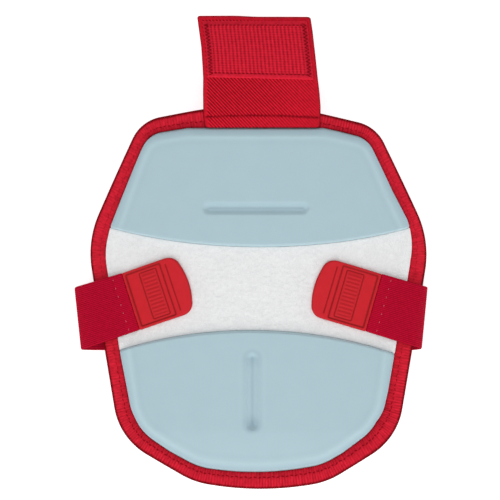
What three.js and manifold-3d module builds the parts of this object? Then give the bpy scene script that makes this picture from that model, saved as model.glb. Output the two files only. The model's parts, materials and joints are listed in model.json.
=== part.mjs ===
// Batter's leg guard, lying on its back with the hollow shin side down.
// Millimetres: +Z up out of the front face, +Y towards the top strap, +X to the viewer's right.
// Flat pieces are drawn unrolled, as across, along and depth, and are then bent over the shin.
import * as THREE from "three";
import Module from "manifold-3d";

const wasm = await Module();
wasm.setup();

// Shin curve: the radius of the pad's back face, and how high its crown stands above the ground
const SHIN_RADIUS = 200;
const CROWN_HEIGHT = 32.5;
const COLUMN_STEP = 14;
const ON_COLUMN = 1e-4;
const ARC_STEPS = 3;
const GAP = 0.3;
const OVERCUT = 1;

// Front view of the guard's right half: corners of the outer edge, each rounded. spread is how much
// further out the left twin of a corner lies. The guard lies a little turned, so its edge leans, and
// its brow is lower on the right.
const EDGE_LEAN = 0.0083;
const EDGE_LEAN_FROM = 59;
const EDGE_CORNERS = [
  { x: 41.9, y: -146, radius: 50, spread: 0 },
  { x: 86.9, y: -118.7, radius: 42, spread: 2.4 },
  { x: 109, y: 7.9, radius: 63, spread: 0 },
  { x: 75, y: 82.1, radius: 24, spread: -0.9 },
];
const TOE = { x: 0, y: -152.1, radius: 200 };
const BROW = { x: 0, y: 97.6, radius: 213 };
const BROW_SKEW = 1.8;

// Layers, measured outwards from the pad's back face
const BACKING_THICK = 3;
const PANEL_TOP = 8.5;
const PANEL_WALL = 0.7;
const LOOP_THICK = 1.5;
const TAPE_THICK = 0.9;
const TAPE_ROUND = 1.2;
const TAPE_SHOULDER = { inset: 0.36, depth: 0.84 };

// The binding is eased on by hand, so its width changes round the guard. turn is in degrees about
// the middle, from +X towards +Y
const TAPE_MIDDLE = { x: 0, y: -30 };
const TAPE_WIDTHS = [
  { turn: 0, width: 12.4 },
  { turn: 12, width: 12.5 },
  { turn: 28, width: 9 },
  { turn: 38, width: 9.7 },
  { turn: 66, width: 8.6 },
  { turn: 112, width: 10.2 },
  { turn: 130, width: 9.1 },
  { turn: 158, width: 12.2 },
  { turn: 200, width: 11 },
  { turn: 222, width: 12.2 },
  { turn: 240, width: 9.5 },
  { turn: 286, width: 11.4 },
  { turn: 299, width: 11 },
  { turn: 315, width: 14.2 },
  { turn: 328, width: 12.6 },
  { turn: 360, width: 12.4 },
];

// Foam panels: the waist between them, their rounded edges and their pressed grooves
const UPPER_WAIST = { x: 1.5, y: 3.5, radius: 390 };
const LOWER_WAIST = { x: -4.1, y: -49.3, radius: 282 };
const WAIST_STEPS = 16;
const WAIST_BEVEL = 3;
const CORNER_BEVEL = 0.5;
const CORNER_SPREAD = 0.3;
const EDGE_BEVEL = 6;
const TOE_BEVEL = 18;
const TOE_BEVEL_FROM = -105;
const TOE_BEVEL_FULL = -140;
const BEVEL_STEPS = 4;
const GROOVE_END_RADIUS = 4.29;
const GROOVE_RIM = 0.1;
const GROOVE_FLOOR = { inset: 3.1, depth: 2 };
const GROOVE_SIDE = { inset: 1.7, depth: 1.5 };
const UPPER_GROOVE = { left: -33.8, right: 31.1, low: 23.6, high: 32.2 };
const LOWER_GROOVE = { left: -7.8, right: 0.8, low: -113.3, high: -63 };

// Closure tabs, drawn with the seam at x = 0 and the free end towards +x
const TAB_HALF_WIDTH = 19;
const TAB_SHOULDER = 35.7;
const TAB_TIP = 40.5;
const TAB_CORNER_RADIUS = 8;
const TAB_TIP_RADIUS = 44;
const TAB_THICK = 2.4;
const TAB_EDGE_ROUND = 0.5;
const TAB_POCKET = { left: 2, right: 25.5, low: -17.1, high: 17.1 };
const TAB_POCKET_RADIUS = 0.8;
const TAB_POCKET_DEPTH = 0.4;
const TAB_FLANGE = { left: -9, right: 1, low: -17, high: 17 };
const TAB_FLANGE_THICK = 0.9;
const LEFT_TAB = { x: -80.1, y: -31.2, turn: 18.6 };
const RIGHT_TAB = { x: 72.8, y: -31.9, turn: 163.5 };

// Elastic band: it lifts off the pad at liftX, starts to fold at bendX and reaches out to foldX
const BAND_THICK = 1.6;
const BAND_BACK = { upper: -24.4, lower: -62.5 };
const BAND_FOLD_TUCK = 6.5;
const BAND_FOLD_HANDLE = 6;
const BAND_STEPS = { pad: 4, fold: 10 };
const BAND_SIDES = [
  {
    tab: LEFT_TAB,
    upper: { liftX: 90, bendX: 108, foldX: 116.8, foldY: -21.9 },
    lower: { liftX: 80, bendX: 103, foldX: 112.4, foldY: -61.9 },
  },
  {
    tab: RIGHT_TAB,
    upper: { liftX: 103, bendX: 103, foldX: 108.6, foldY: -21.9 },
    lower: { liftX: 97.5, bendX: 97.5, foldX: 104.6, foldY: -61.3 },
  },
];

// Top strap: its edges from the hem, which lies on the tape, to the free end, which droops
const HEM_LOW = 79.1;
const HEM_SEAM = 86.7;
const STRAP_HINGE = 91.6;
const STRAP_ROWS = [
  { y: HEM_LOW, left: -33.7, right: 39.4, thick: 3 },
  { y: HEM_SEAM - 0.8, left: -34.6, right: 39.7, thick: 3 },
  { y: HEM_SEAM + 0.8, left: -34.7, right: 39.7, thick: 2.2 },
  { y: 93, left: -34.9, right: 39.7, thick: 2.2 },
  { y: 101, left: -34.9, right: 39.5, thick: 1.6 },
  { y: 111, left: -34.7, right: 38.3, thick: 1.6 },
  { y: 121, left: -35.3, right: 37.4, thick: 1.6 },
  { y: 131, left: -36, right: 36.1, thick: 1.6 },
  { y: 141, left: -37.2, right: 34.5, thick: 1.6 },
  { y: 149.9, left: -38.1, right: 33, thick: 1.6 },
];
const STRAP_COLUMNS = 8;
const STRAP_DROOP = 13;
const STRAP_FLATTEN = 0.5;
const PATCH_ROWS = [110.4, 120, 130, 140, 147];
const PATCH_THICK = 1.4;
const PATCH_MARGIN = 0.04;

const PALE_BLUE = { color: 0xabc3cd, roughness: 0.8 };
const WHITE_PILE = { color: 0xe7e7e7, roughness: 1 };
const RED_WEBBING = { color: 0xbc1a2b, roughness: 0.85 };
const RED_RUBBER = { color: 0xcd343c, roughness: 0.5 };

// Depths that follow from the layers
const TAPE_LOW = -GAP - TAPE_THICK;
const TAPE_HIGH = BACKING_THICK + GAP + TAPE_THICK;
const PANEL_FOOT = BACKING_THICK + GAP;
const LOOP_TOP = PANEL_FOOT + LOOP_THICK;
const TAB_LOW = LOOP_TOP + GAP;
const TAB_TOP = TAB_LOW + TAB_THICK;
const BAND_DEPTH = TAB_LOW + TAB_FLANGE_THICK + GAP + BAND_THICK / 2;
const STRAP_LOW = TAPE_HIGH + GAP;

// Where a point on the unrolled pad lies once it is bent over the shin
function bendPoint({ x, y, z }) {
  const angle = x / SHIN_RADIUS;
  const radius = SHIN_RADIUS + z;
  return new THREE.Vector3(
    radius * Math.sin(angle),
    y,
    CROWN_HEIGHT - SHIN_RADIUS + radius * Math.cos(angle),
  );
}

// How far across the unrolled pad a front-view x lies, at a given depth
function unrollX(x, depth) {
  return SHIN_RADIUS * Math.asin(x / (SHIN_RADIUS + depth));
}

// An anticlockwise outline through corners, each rounded by an arc of its radius
function roundedLoop(corners) {
  const path = new THREE.Path();
  corners.forEach((corner, i) => {
    const point = new THREE.Vector2().copy(corner);
    const before = new THREE.Vector2().copy(corners.at(i - 1)).sub(point).normalize();
    const after = new THREE.Vector2().copy(corners[(i + 1) % corners.length]).sub(point).normalize();
    const halfAngle = Math.acos(before.dot(after)) / 2;
    const tangent = corner.radius / Math.tan(halfAngle);
    const centre = before.clone().add(after).setLength(corner.radius / Math.sin(halfAngle)).add(point);
    const start = before.clone().setLength(tangent).add(point).sub(centre);
    const end = after.clone().setLength(tangent).add(point).sub(centre);
    path.absarc(centre.x, centre.y, corner.radius, start.angle(), end.angle(), false);
  });
  return path.getPoints(ARC_STEPS);
}

function boxLoop({ left, right, low, high }, radius) {
  const corners = [
    { x: left, y: low, radius },
    { x: right, y: low, radius },
    { x: right, y: high, radius },
    { x: left, y: high, radius },
  ];
  return roundedLoop(corners);
}

// An outline moved inwards, by one width or by a width for each point
function insetLoop(loop, width) {
  return loop.map((point, i) => {
    const back = point.clone().sub(loop.at(i - 1)).normalize();
    const ahead = loop[(i + 1) % loop.length].clone().sub(point).normalize();
    const inward = new THREE.Vector2(-back.y - ahead.y, back.x + ahead.x).normalize();
    const mitre = inward.x * -back.y + inward.y * back.x;
    const amount = typeof width === "function" ? width(point) : width;
    return point.clone().addScaledVector(inward, amount / mitre);
  });
}

// The part of an outline above or below a curve across it, closed along that curve
function cutLoop(loop, curve, keepAbove) {
  const height = (point) => (point.y - curve(point.x)) * (keepAbove ? 1 : -1);
  const first = loop.findIndex((point, i) => height(point) > 0 && height(loop.at(i - 1)) <= 0);
  const turned = [...loop.slice(first), ...loop.slice(0, first)];
  const kept = turned.filter((point) => height(point) > 0);
  const crossing = (inside, outside) =>
    THREE.MathUtils.lerp(inside.x, outside.x, height(inside) / (height(inside) - height(outside)));
  const leave = crossing(kept.at(-1), turned[kept.length]);
  const enter = crossing(kept[0], turned.at(-1));
  for (let i = 0; i <= WAIST_STEPS; i++) {
    const x = THREE.MathUtils.lerp(leave, enter, i / WAIST_STEPS);
    kept.push(new THREE.Vector2(x, curve(x)));
  }
  return kept;
}

function indexed(positions, index) {
  const geometry = new THREE.BufferGeometry();
  geometry.setAttribute("position", new THREE.Float32BufferAttribute(positions, 3));
  geometry.setIndex(Array.from(index));
  return geometry;
}

// Triangles that fill an outline, zipped from left to right between its lower and upper sides
function fillLoop(loop) {
  const turned = loop.map((point, i) => ({ i, x: point.x }));
  const leftmost = turned.reduce((best, point) => (point.x < best.x ? point : best)).i;
  turned.push(...turned.splice(0, leftmost));
  const rightmost = turned.reduce((best, point, i) => (point.x > turned[best].x ? i : best), 0);
  const lower = turned.slice(0, rightmost + 1);
  const upper = [turned[0], ...turned.slice(rightmost).reverse()];
  const faces = [];
  let low = 0;
  let high = 0;
  while (low < lower.length - 1 || high < upper.length - 1) {
    const nextLow = lower[low + 1];
    const nextHigh = upper[high + 1];
    if (!nextHigh || (nextLow && nextLow.x <= nextHigh.x)) {
      faces.push([lower[low].i, nextLow.i, upper[high].i]);
      low++;
    } else {
      faces.push([lower[low].i, nextHigh.i, upper[high].i]);
      high++;
    }
  }
  return faces.filter(([a, b, c]) => a !== b && b !== c && c !== a);
}

// A closed solid through matching outlines at rising depths
function ringSolid(rings) {
  const count = rings[0].loop.length;
  const positions = rings.flatMap(({ loop, depth }) => loop.flatMap(({ x, y }) => [x, y, depth]));
  const top = (rings.length - 1) * count;
  const index = [];
  for (let ring = 0; ring < top; ring += count) {
    for (let i = 0; i < count; i++) {
      const next = (i + 1) % count;
      index.push(ring + i, ring + next, ring + next + count);
      index.push(ring + i, ring + next + count, ring + i + count);
    }
  }
  for (const [a, b, c] of fillLoop(rings[0].loop)) {
    index.push(c, b, a);
  }
  for (const [a, b, c] of fillLoop(rings.at(-1).loop)) {
    index.push(top + a, top + b, top + c);
  }
  return indexed(positions, index);
}

// A flat plate of one outline between two depths
function plate(loop, low, high) {
  return ringSolid([
    { loop, depth: low },
    { loop, depth: high },
  ]);
}

// A closed sheet between two grids of points with the same rows and columns
function sheetSolid(lowGrid, highGrid) {
  const columns = lowGrid[0].length;
  const last = columns - 1;
  const half = lowGrid.length * columns;
  const positions = [...lowGrid, ...highGrid].flat().flatMap((point) => point.toArray());
  const index = [];
  const quad = (a, b, c, d) => index.push(a, b, c, a, c, d);
  for (let row = 0; row < lowGrid.length - 1; row++) {
    const here = row * columns;
    const next = here + columns;
    for (let i = 0; i < last; i++) {
      quad(here + i, next + i, next + i + 1, here + i + 1);
      quad(half + here + i, half + here + i + 1, half + next + i + 1, half + next + i);
    }
    quad(here, half + here, half + next, next);
    quad(here + last, next + last, half + next + last, half + here + last);
  }
  const end = half - columns;
  for (let i = 0; i < last; i++) {
    quad(i, i + 1, half + i + 1, half + i);
    quad(end + i, half + end + i, half + end + i + 1, end + i + 1);
  }
  return indexed(positions, index);
}

function toSolid(geometry) {
  const mesh = new wasm.Mesh({
    numProp: 3,
    vertProperties: new Float32Array(geometry.attributes.position.array),
    triVerts: new Uint32Array(geometry.index.array),
  });
  return new wasm.Manifold(mesh);
}

function toGeometry(solid) {
  const mesh = solid.getMesh();
  return indexed(mesh.vertProperties, mesh.triVerts);
}

// Splits the faces at evenly spaced columns, so that the bend follows the curve
function splitAtColumns(geometry) {
  const attribute = geometry.attributes.position;
  const points = Array.from({ length: attribute.count }, (_, i) =>
    new THREE.Vector3().fromBufferAttribute(attribute, i),
  );
  let faces = [];
  for (let i = 0; i < geometry.index.count; i += 3) {
    faces.push(Array.from(geometry.index.array.slice(i, i + 3)));
  }
  const reach = Math.max(...points.map(({ x }) => Math.abs(x)));
  const columnLimit = Math.floor(reach / COLUMN_STEP);
  for (let column = -columnLimit; column <= columnLimit; column++) {
    faces = splitAt(points, faces, column * COLUMN_STEP);
  }
  return indexed(points.flatMap((point) => point.toArray()), faces.flat());
}

function splitAt(points, faces, x) {
  const cuts = new Map();
  const sideOf = (a) => (Math.abs(points[a].x - x) < ON_COLUMN ? 0 : Math.sign(points[a].x - x));
  const cutEdge = (a, b) => {
    const [from, to] = a < b ? [a, b] : [b, a];
    const key = `${from} ${to}`;
    if (!cuts.has(key)) {
      const share = (x - points[from].x) / (points[to].x - points[from].x);
      cuts.set(key, points.push(points[from].clone().lerp(points[to], share)) - 1);
    }
    return cuts.get(key);
  };
  return faces.flatMap((face) => {
    const sides = face.map(sideOf);
    if (Math.min(...sides) >= 0 || Math.max(...sides) <= 0) {
      return [face];
    }
    const left = [];
    const right = [];
    face.forEach((a, i) => {
      const b = face[(i + 1) % 3];
      if (sideOf(a) <= 0) {
        left.push(a);
      }
      if (sideOf(a) >= 0) {
        right.push(a);
      }
      if (sideOf(a) * sideOf(b) < 0) {
        left.push(cutEdge(a, b));
        right.push(cutEdge(a, b));
      }
    });
    return [...fan(left), ...fan(right)];
  });
}

function fan(polygon) {
  return polygon.slice(2).map((corner, i) => [polygon[0], polygon[i + 1], corner]);
}

// Bends an unrolled piece over the shin
function bend(geometry) {
  const bent = splitAtColumns(geometry);
  const attribute = bent.attributes.position;
  for (let i = 0; i < attribute.count; i++) {
    const point = bendPoint(new THREE.Vector3().fromBufferAttribute(attribute, i));
    attribute.setXYZ(i, point.x, point.y, point.z);
  }
  return bent;
}

// Outlines shared by the layers of the pad
function outerLoop() {
  const left = EDGE_CORNERS.map((corner) => ({ ...corner, x: -corner.x - corner.spread })).reverse();
  const corners = [...EDGE_CORNERS, BROW, ...left, TOE].map(({ x, y, radius }) => {
    const skew = y > HEM_LOW ? BROW_SKEW * Math.sign(x) : 0;
    return { x: x + EDGE_LEAN * (EDGE_LEAN_FROM - y), y: y - skew, radius };
  });
  const middle = (TAPE_LOW + TAPE_HIGH) / 2;
  return roundedLoop(corners).map(({ x, y }) => new THREE.Vector2(unrollX(x, middle), y));
}

function tapeWidth({ x, y }) {
  const angle = THREE.MathUtils.radToDeg(Math.atan2(y - TAPE_MIDDLE.y, x - TAPE_MIDDLE.x));
  const turn = THREE.MathUtils.euclideanModulo(angle, 360);
  const after = TAPE_WIDTHS.findIndex((stop) => stop.turn > turn);
  const [low, high] = TAPE_WIDTHS.slice(after - 1, after + 1);
  return THREE.MathUtils.mapLinear(turn, low.turn, high.turn, low.width, high.width);
}

// The line at a clearance inside the binding, which is level under the top strap's hem
function innerLoop(clearance) {
  const loop = insetLoop(EDGE, (point) => tapeWidth(point) + clearance);
  return loop.map(({ x, y }) => new THREE.Vector2(x, Math.min(y, HEM_LOW - clearance)));
}

const EDGE = outerLoop();
const upperWaist = (x) => UPPER_WAIST.y + (x - UPPER_WAIST.x) ** 2 / (2 * UPPER_WAIST.radius);
const lowerWaist = (x) => LOWER_WAIST.y - (x - LOWER_WAIST.x) ** 2 / (2 * LOWER_WAIST.radius);

function backing() {
  const loop = insetLoop(EDGE, TAPE_ROUND + TAPE_THICK);
  return bend(plate(loop, 0, BACKING_THICK));
}

function groove(box) {
  const loop = boxLoop(box, GROOVE_END_RADIUS);
  return toSolid(
    ringSolid([
      { loop: insetLoop(loop, GROOVE_FLOOR.inset), depth: PANEL_TOP - GROOVE_FLOOR.depth },
      { loop: insetLoop(loop, GROOVE_SIDE.inset), depth: PANEL_TOP - GROOVE_SIDE.depth },
      { loop, depth: PANEL_TOP + GROOVE_RIM },
    ]),
  );
}

// A foam panel whose edge rises steeply at the tape and rolls over to a level top.
// The roll narrows to nothing at the panel's two sharp corners, where the waist meets the tape.
function foamPanel(waist, isAbove, edgeBevel, grooveBox) {
  const loop = cutLoop(innerLoop(GAP), waist, isAbove);
  const corners = [loop.at(-1), loop.at(-1 - WAIST_STEPS)];
  const bevelWidth = (point) => {
    const onWaist = Math.abs(point.y - waist(point.x)) < GAP;
    const fromCorner = Math.min(...corners.map((corner) => corner.distanceTo(point)));
    return Math.min(onWaist ? WAIST_BEVEL : edgeBevel(point), CORNER_BEVEL + fromCorner * CORNER_SPREAD);
  };
  const shoulder = PANEL_FOOT + PANEL_WALL;
  const rings = [{ loop, depth: PANEL_FOOT }];
  for (let step = 0; step <= BEVEL_STEPS; step++) {
    const angle = (step / BEVEL_STEPS) * (Math.PI / 2);
    rings.push({
      loop: insetLoop(loop, (point) => bevelWidth(point) * (1 - Math.cos(angle))),
      depth: shoulder + (PANEL_TOP - shoulder) * Math.sin(angle),
    });
  }
  return bend(toGeometry(toSolid(ringSolid(rings)).subtract(groove(grooveBox))));
}

function upperPanel() {
  return foamPanel(upperWaist, true, () => EDGE_BEVEL, UPPER_GROOVE);
}

function lowerPanel() {
  const edgeBevel = ({ y }) => {
    const share = THREE.MathUtils.smoothstep(-y, -TOE_BEVEL_FROM, -TOE_BEVEL_FULL);
    return THREE.MathUtils.lerp(EDGE_BEVEL, TOE_BEVEL, share);
  };
  return foamPanel(lowerWaist, false, edgeBevel, LOWER_GROOVE);
}

function loopPanel() {
  const below = cutLoop(innerLoop(GAP), (x) => upperWaist(x) - GAP, false);
  const loop = cutLoop(below, (x) => lowerWaist(x) + GAP, true);
  return bend(plate(loop, PANEL_FOOT, LOOP_TOP));
}

// Tape folded over the edge: a front leg, a rounded fold and a back leg
function edgeBinding() {
  const shoulder = insetLoop(EDGE, TAPE_SHOULDER.inset);
  const fold = ringSolid([
    { loop: insetLoop(EDGE, TAPE_ROUND), depth: TAPE_LOW },
    { loop: shoulder, depth: TAPE_LOW + TAPE_SHOULDER.depth },
    { loop: EDGE, depth: (TAPE_LOW + TAPE_HIGH) / 2 },
    { loop: shoulder, depth: TAPE_HIGH - TAPE_SHOULDER.depth },
    { loop: insetLoop(EDGE, TAPE_ROUND), depth: TAPE_HIGH },
  ]);
  const slot = plate(insetLoop(EDGE, TAPE_ROUND + TAPE_THICK - GAP), -GAP, PANEL_FOOT);
  const window = plate(innerLoop(0), TAPE_LOW - OVERCUT, TAPE_HIGH + OVERCUT);
  return bend(toGeometry(toSolid(fold).subtract(toSolid(slot)).subtract(toSolid(window))));
}

function closureTab({ x, y, turn }) {
  const outline = roundedLoop([
    { x: 0, y: -TAB_HALF_WIDTH, radius: 0 },
    { x: TAB_SHOULDER, y: -TAB_HALF_WIDTH, radius: TAB_CORNER_RADIUS },
    { x: TAB_TIP, y: 0, radius: TAB_TIP_RADIUS },
    { x: TAB_SHOULDER, y: TAB_HALF_WIDTH, radius: TAB_CORNER_RADIUS },
    { x: 0, y: TAB_HALF_WIDTH, radius: 0 },
  ]);
  const body = ringSolid([
    { loop: outline, depth: TAB_LOW },
    { loop: outline, depth: TAB_TOP - TAB_EDGE_ROUND },
    { loop: insetLoop(outline, TAB_EDGE_ROUND), depth: TAB_TOP },
  ]);
  const pocketLoop = boxLoop(TAB_POCKET, TAB_POCKET_RADIUS);
  const pocket = plate(pocketLoop, TAB_TOP - TAB_POCKET_DEPTH, TAB_TOP + OVERCUT);
  const flange = plate(boxLoop(TAB_FLANGE, 0), TAB_LOW, TAB_LOW + TAB_FLANGE_THICK);
  const tab = toGeometry(toSolid(body).subtract(toSolid(pocket)).add(toSolid(flange)));
  tab.rotateZ(THREE.MathUtils.degToRad(turn));
  tab.translate(unrollX(x, TAB_LOW), y, 0);
  return bend(tab);
}

// One edge of the elastic from its seam with a tab, over the pad and down to the ground
function bandEdge(tab, across, { liftX, bendX, foldX, foldY }, backY) {
  const side = Math.sign(tab.x);
  const lean = THREE.MathUtils.degToRad(tab.turn);
  const seamX = Math.abs(unrollX(tab.x, TAB_LOW) - across * Math.sin(lean) - GAP * Math.cos(lean));
  const seamY = tab.y + across * Math.cos(lean);
  const yAt = (x, seamFront) => THREE.MathUtils.mapLinear(x, seamFront, foldX, seamY, foldY);
  const points = [];
  const start = bendPoint({ x: seamX, y: 0, z: BAND_DEPTH });
  const liftAcross = unrollX(liftX, BAND_DEPTH);
  for (let i = 0; i <= BAND_STEPS.pad; i++) {
    const x = THREE.MathUtils.lerp(seamX, liftAcross, i / BAND_STEPS.pad);
    const point = bendPoint({ x, y: 0, z: BAND_DEPTH });
    points.push(point.setY(yAt(point.x, start.x)));
  }
  const slope = liftAcross / SHIN_RADIUS;
  const heading = new THREE.Vector3(Math.cos(slope), 0, -Math.sin(slope));
  const bendStart = points.at(-1).clone().addScaledVector(heading, (bendX - liftX) / heading.x);
  const ground = new THREE.Vector3(foldX - BAND_FOLD_TUCK, 0, BAND_THICK / 2);
  const handle = bendStart.clone().addScaledVector(heading, BAND_FOLD_HANDLE);
  const reach = foldX - BAND_THICK / 2;
  const turnX = (8 * reach - bendStart.x - 3 * handle.x - ground.x) / 3;
  const fold = new THREE.CubicBezierCurve3(bendStart, handle, ground.clone().setX(turnX), ground);
  const firstFold = bendX > liftX ? 0 : 1;
  for (let i = firstFold; i <= BAND_STEPS.fold; i++) {
    const share = i / BAND_STEPS.fold;
    const point = fold.getPoint(share);
    const y = share < 0.5 ? yAt(point.x, start.x) : THREE.MathUtils.mapLinear(share, 0.5, 1, foldY, backY);
    points.push(point.setY(y));
  }
  return points.map((point) => point.setX(side * point.x));
}

function calfStrap() {
  const [left, right] = BAND_SIDES.map(({ tab, upper, lower }) => {
    const upperAcross = TAB_HALF_WIDTH * -Math.sign(tab.x);
    const upperEdge = bandEdge(tab, upperAcross, upper, BAND_BACK.upper);
    const lowerEdge = bandEdge(tab, -upperAcross, lower, BAND_BACK.lower);
    return upperEdge.map((point, i) => [lowerEdge[i], point]);
  });
  const rows = [...left, ...right.reverse()];
  const lowGrid = [];
  const highGrid = [];
  rows.forEach((row, i) => {
    const before = rows[Math.max(i - 1, 0)];
    const after = rows[Math.min(i + 1, rows.length - 1)];
    const along = after[0].clone().add(after[1]).sub(before[0]).sub(before[1]);
    const across = row[1].clone().sub(row[0]);
    const normal = across.cross(along).setLength(BAND_THICK / 2);
    lowGrid.push(row.map((point) => point.clone().sub(normal)));
    highGrid.push(row.map((point) => point.clone().add(normal)));
  });
  return sheetSolid(lowGrid, highGrid);
}

// A point on the top strap's underside: it follows the pad at the hem and droops past the brow
function strapPoint(y, left, right, share, lift) {
  const x = THREE.MathUtils.lerp(left, right, share);
  const past = Math.max(0, THREE.MathUtils.mapLinear(y, STRAP_HINGE, STRAP_ROWS.at(-1).y, 0, 1));
  const seat = bendPoint({ x: unrollX(x, STRAP_LOW), y, z: STRAP_LOW });
  const crown = CROWN_HEIGHT + STRAP_LOW;
  const flattened = THREE.MathUtils.lerp(seat.z, crown, past * STRAP_FLATTEN);
  return new THREE.Vector3(x, y, flattened - STRAP_DROOP * past ** 2 + lift);
}

function topStrap() {
  const grid = (liftOf) =>
    STRAP_ROWS.map((row) =>
      Array.from({ length: STRAP_COLUMNS + 1 }, (_, i) =>
        strapPoint(row.y, row.left, row.right, i / STRAP_COLUMNS, liftOf(row)),
      ),
    );
  return sheetSolid(
    grid(() => 0),
    grid(({ thick }) => thick),
  );
}

function hookPatch() {
  const edgeAt = (y, name) => {
    const after = STRAP_ROWS.findIndex((row) => row.y >= y);
    const [low, high] = STRAP_ROWS.slice(after - 1, after + 1);
    return THREE.MathUtils.mapLinear(y, low.y, high.y, low[name], high[name]);
  };
  const grid = (lift) =>
    PATCH_ROWS.map((y) =>
      Array.from({ length: STRAP_COLUMNS + 1 }, (_, i) => {
        const share = THREE.MathUtils.lerp(PATCH_MARGIN, 1 - PATCH_MARGIN, i / STRAP_COLUMNS);
        return strapPoint(y, edgeAt(y, "left"), edgeAt(y, "right"), share, lift);
      }),
    );
  const seat = STRAP_ROWS.at(-1).thick + GAP;
  return sheetSolid(grid(seat), grid(seat + PATCH_THICK));
}

const PIECES = [
  { name: "backing", geometry: backing(), look: PALE_BLUE },
  { name: "upper_panel", geometry: upperPanel(), look: PALE_BLUE },
  { name: "lower_panel", geometry: lowerPanel(), look: PALE_BLUE },
  { name: "loop_panel", geometry: loopPanel(), look: WHITE_PILE },
  { name: "edge_binding", geometry: edgeBinding(), look: RED_WEBBING },
  { name: "calf_strap", geometry: calfStrap(), look: RED_WEBBING },
  { name: "tab_left", geometry: closureTab(LEFT_TAB), look: RED_RUBBER },
  { name: "tab_right", geometry: closureTab(RIGHT_TAB), look: RED_RUBBER },
  { name: "top_strap", geometry: topStrap(), look: RED_WEBBING },
  { name: "hook_patch", geometry: hookPatch(), look: RED_WEBBING },
];

const guard = new THREE.Group();
for (const { name, geometry, look } of PIECES) {
  const mesh = new THREE.Mesh(geometry, new THREE.MeshStandardMaterial({ ...look, metalness: 0 }));
  mesh.name = name;
  guard.add(mesh);
}

// The origin is the middle of the guard's footprint, on the ground
const footprint = new THREE.Box3().setFromObject(guard);
const middle = footprint.getCenter(new THREE.Vector3());
guard.position.set(-middle.x, -middle.y, -footprint.min.z);

export default guard;
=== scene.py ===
"""Batter's leg guard, lying on its back with its front face up."""
import json
import math

import bpy
import numpy as np
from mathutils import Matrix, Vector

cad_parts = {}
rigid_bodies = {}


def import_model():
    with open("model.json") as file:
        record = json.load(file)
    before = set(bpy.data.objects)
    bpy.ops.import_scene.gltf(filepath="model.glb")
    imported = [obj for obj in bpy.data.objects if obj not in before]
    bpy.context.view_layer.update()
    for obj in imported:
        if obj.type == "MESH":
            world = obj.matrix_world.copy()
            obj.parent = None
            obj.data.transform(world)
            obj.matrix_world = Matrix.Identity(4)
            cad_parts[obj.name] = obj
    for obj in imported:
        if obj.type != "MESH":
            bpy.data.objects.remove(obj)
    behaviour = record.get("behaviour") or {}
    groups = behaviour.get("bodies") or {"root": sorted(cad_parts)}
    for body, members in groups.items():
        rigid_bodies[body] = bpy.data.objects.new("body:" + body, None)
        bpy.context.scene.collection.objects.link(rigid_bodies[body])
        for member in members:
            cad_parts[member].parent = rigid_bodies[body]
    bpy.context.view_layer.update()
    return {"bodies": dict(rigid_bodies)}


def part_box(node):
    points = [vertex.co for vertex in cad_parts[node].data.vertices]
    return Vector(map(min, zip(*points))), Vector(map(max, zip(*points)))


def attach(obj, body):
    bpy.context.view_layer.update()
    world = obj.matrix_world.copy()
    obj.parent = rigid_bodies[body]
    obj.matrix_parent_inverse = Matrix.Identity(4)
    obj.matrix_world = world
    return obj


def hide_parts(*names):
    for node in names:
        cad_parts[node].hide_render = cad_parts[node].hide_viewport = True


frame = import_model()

# Foam backing: the thin sheet of closed-cell foam that carries the whole guard. A pale blue knit is
# bonded to the side that meets the leg. It is cut to the guard's outline and bent round the shin.
# It is drawn flat, in mm: across, along, and depth from the leg side outwards.
MM = 0.001
BODY = next(iter(frame["bodies"]))
SHARP_ANGLE = math.radians(60)
SHIN_RADIUS = 200
CROWN_HEIGHT = 32.5
HEM_LOW = 79.1
FLAP_END_LEFT = -38.1
flap_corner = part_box("top_strap")[0]
DRAWING_SHIFT = np.array([flap_corner[0] / MM - FLAP_END_LEFT, flap_corner[1] / MM - HEM_LOW, 0])


def wrap(across, along, depth):
    """Bends points of the flat drawing round the shin."""
    angle = np.asarray(across) / SHIN_RADIUS
    reach = SHIN_RADIUS + np.asarray(depth)
    height = CROWN_HEIGHT - SHIN_RADIUS + reach * np.cos(angle)
    return np.stack(np.broadcast_arrays(reach * np.sin(angle), along, height), axis=-1) + DRAWING_SHIFT


def unrolled(x, depth):
    """How far across the flat drawing a point lies that is seen at x from the front."""
    return SHIN_RADIUS * np.arcsin(np.asarray(x) / (SHIN_RADIUS + depth))


def direction(line):
    return line / np.linalg.norm(line, axis=-1, keepdims=True)


def rounded_outline(corners, arc_steps=24):
    """An anticlockwise outline through corners of x, y and radius, each rounded by an arc."""
    points = []
    for i, (x, y, radius) in enumerate(corners):
        corner = np.array([x, y])
        before = direction(np.array(corners[i - 1][:2]) - corner)
        after = direction(np.array(corners[(i + 1) % len(corners)][:2]) - corner)
        half_angle = math.acos(before @ after) / 2
        centre = corner + direction(before + after) * radius / math.sin(half_angle)
        start = corner + before * radius / math.tan(half_angle) - centre
        angles = math.atan2(start[1], start[0]) + np.linspace(0, math.pi - 2 * half_angle, arc_steps)
        points.append(centre + radius * np.stack([np.cos(angles), np.sin(angles)], axis=1))
    return np.concatenate(points)


def travelled(line):
    """How far along a line each of its points lies."""
    steps = np.linalg.norm(np.diff(line, axis=0), axis=1)
    return np.concatenate([[0], np.cumsum(steps)])


def evenly(line, count):
    """The same line with count points at equal steps along it."""
    travel = travelled(line)
    stops = np.linspace(0, travel[-1], count)
    return np.stack([np.interp(stops, travel, column) for column in line.T], axis=1)


def closed_evenly(loop, count):
    return evenly(np.vstack([loop, loop[:1]]), count + 1)[:-1]


def inset(loop, width):
    """A closed anticlockwise outline moved inwards."""
    ahead = np.roll(loop, -1, axis=0) - np.roll(loop, 1, axis=0)
    inward = direction(np.stack([-ahead[:, 1], ahead[:, 0]], axis=1))
    return loop + inward * width


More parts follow.
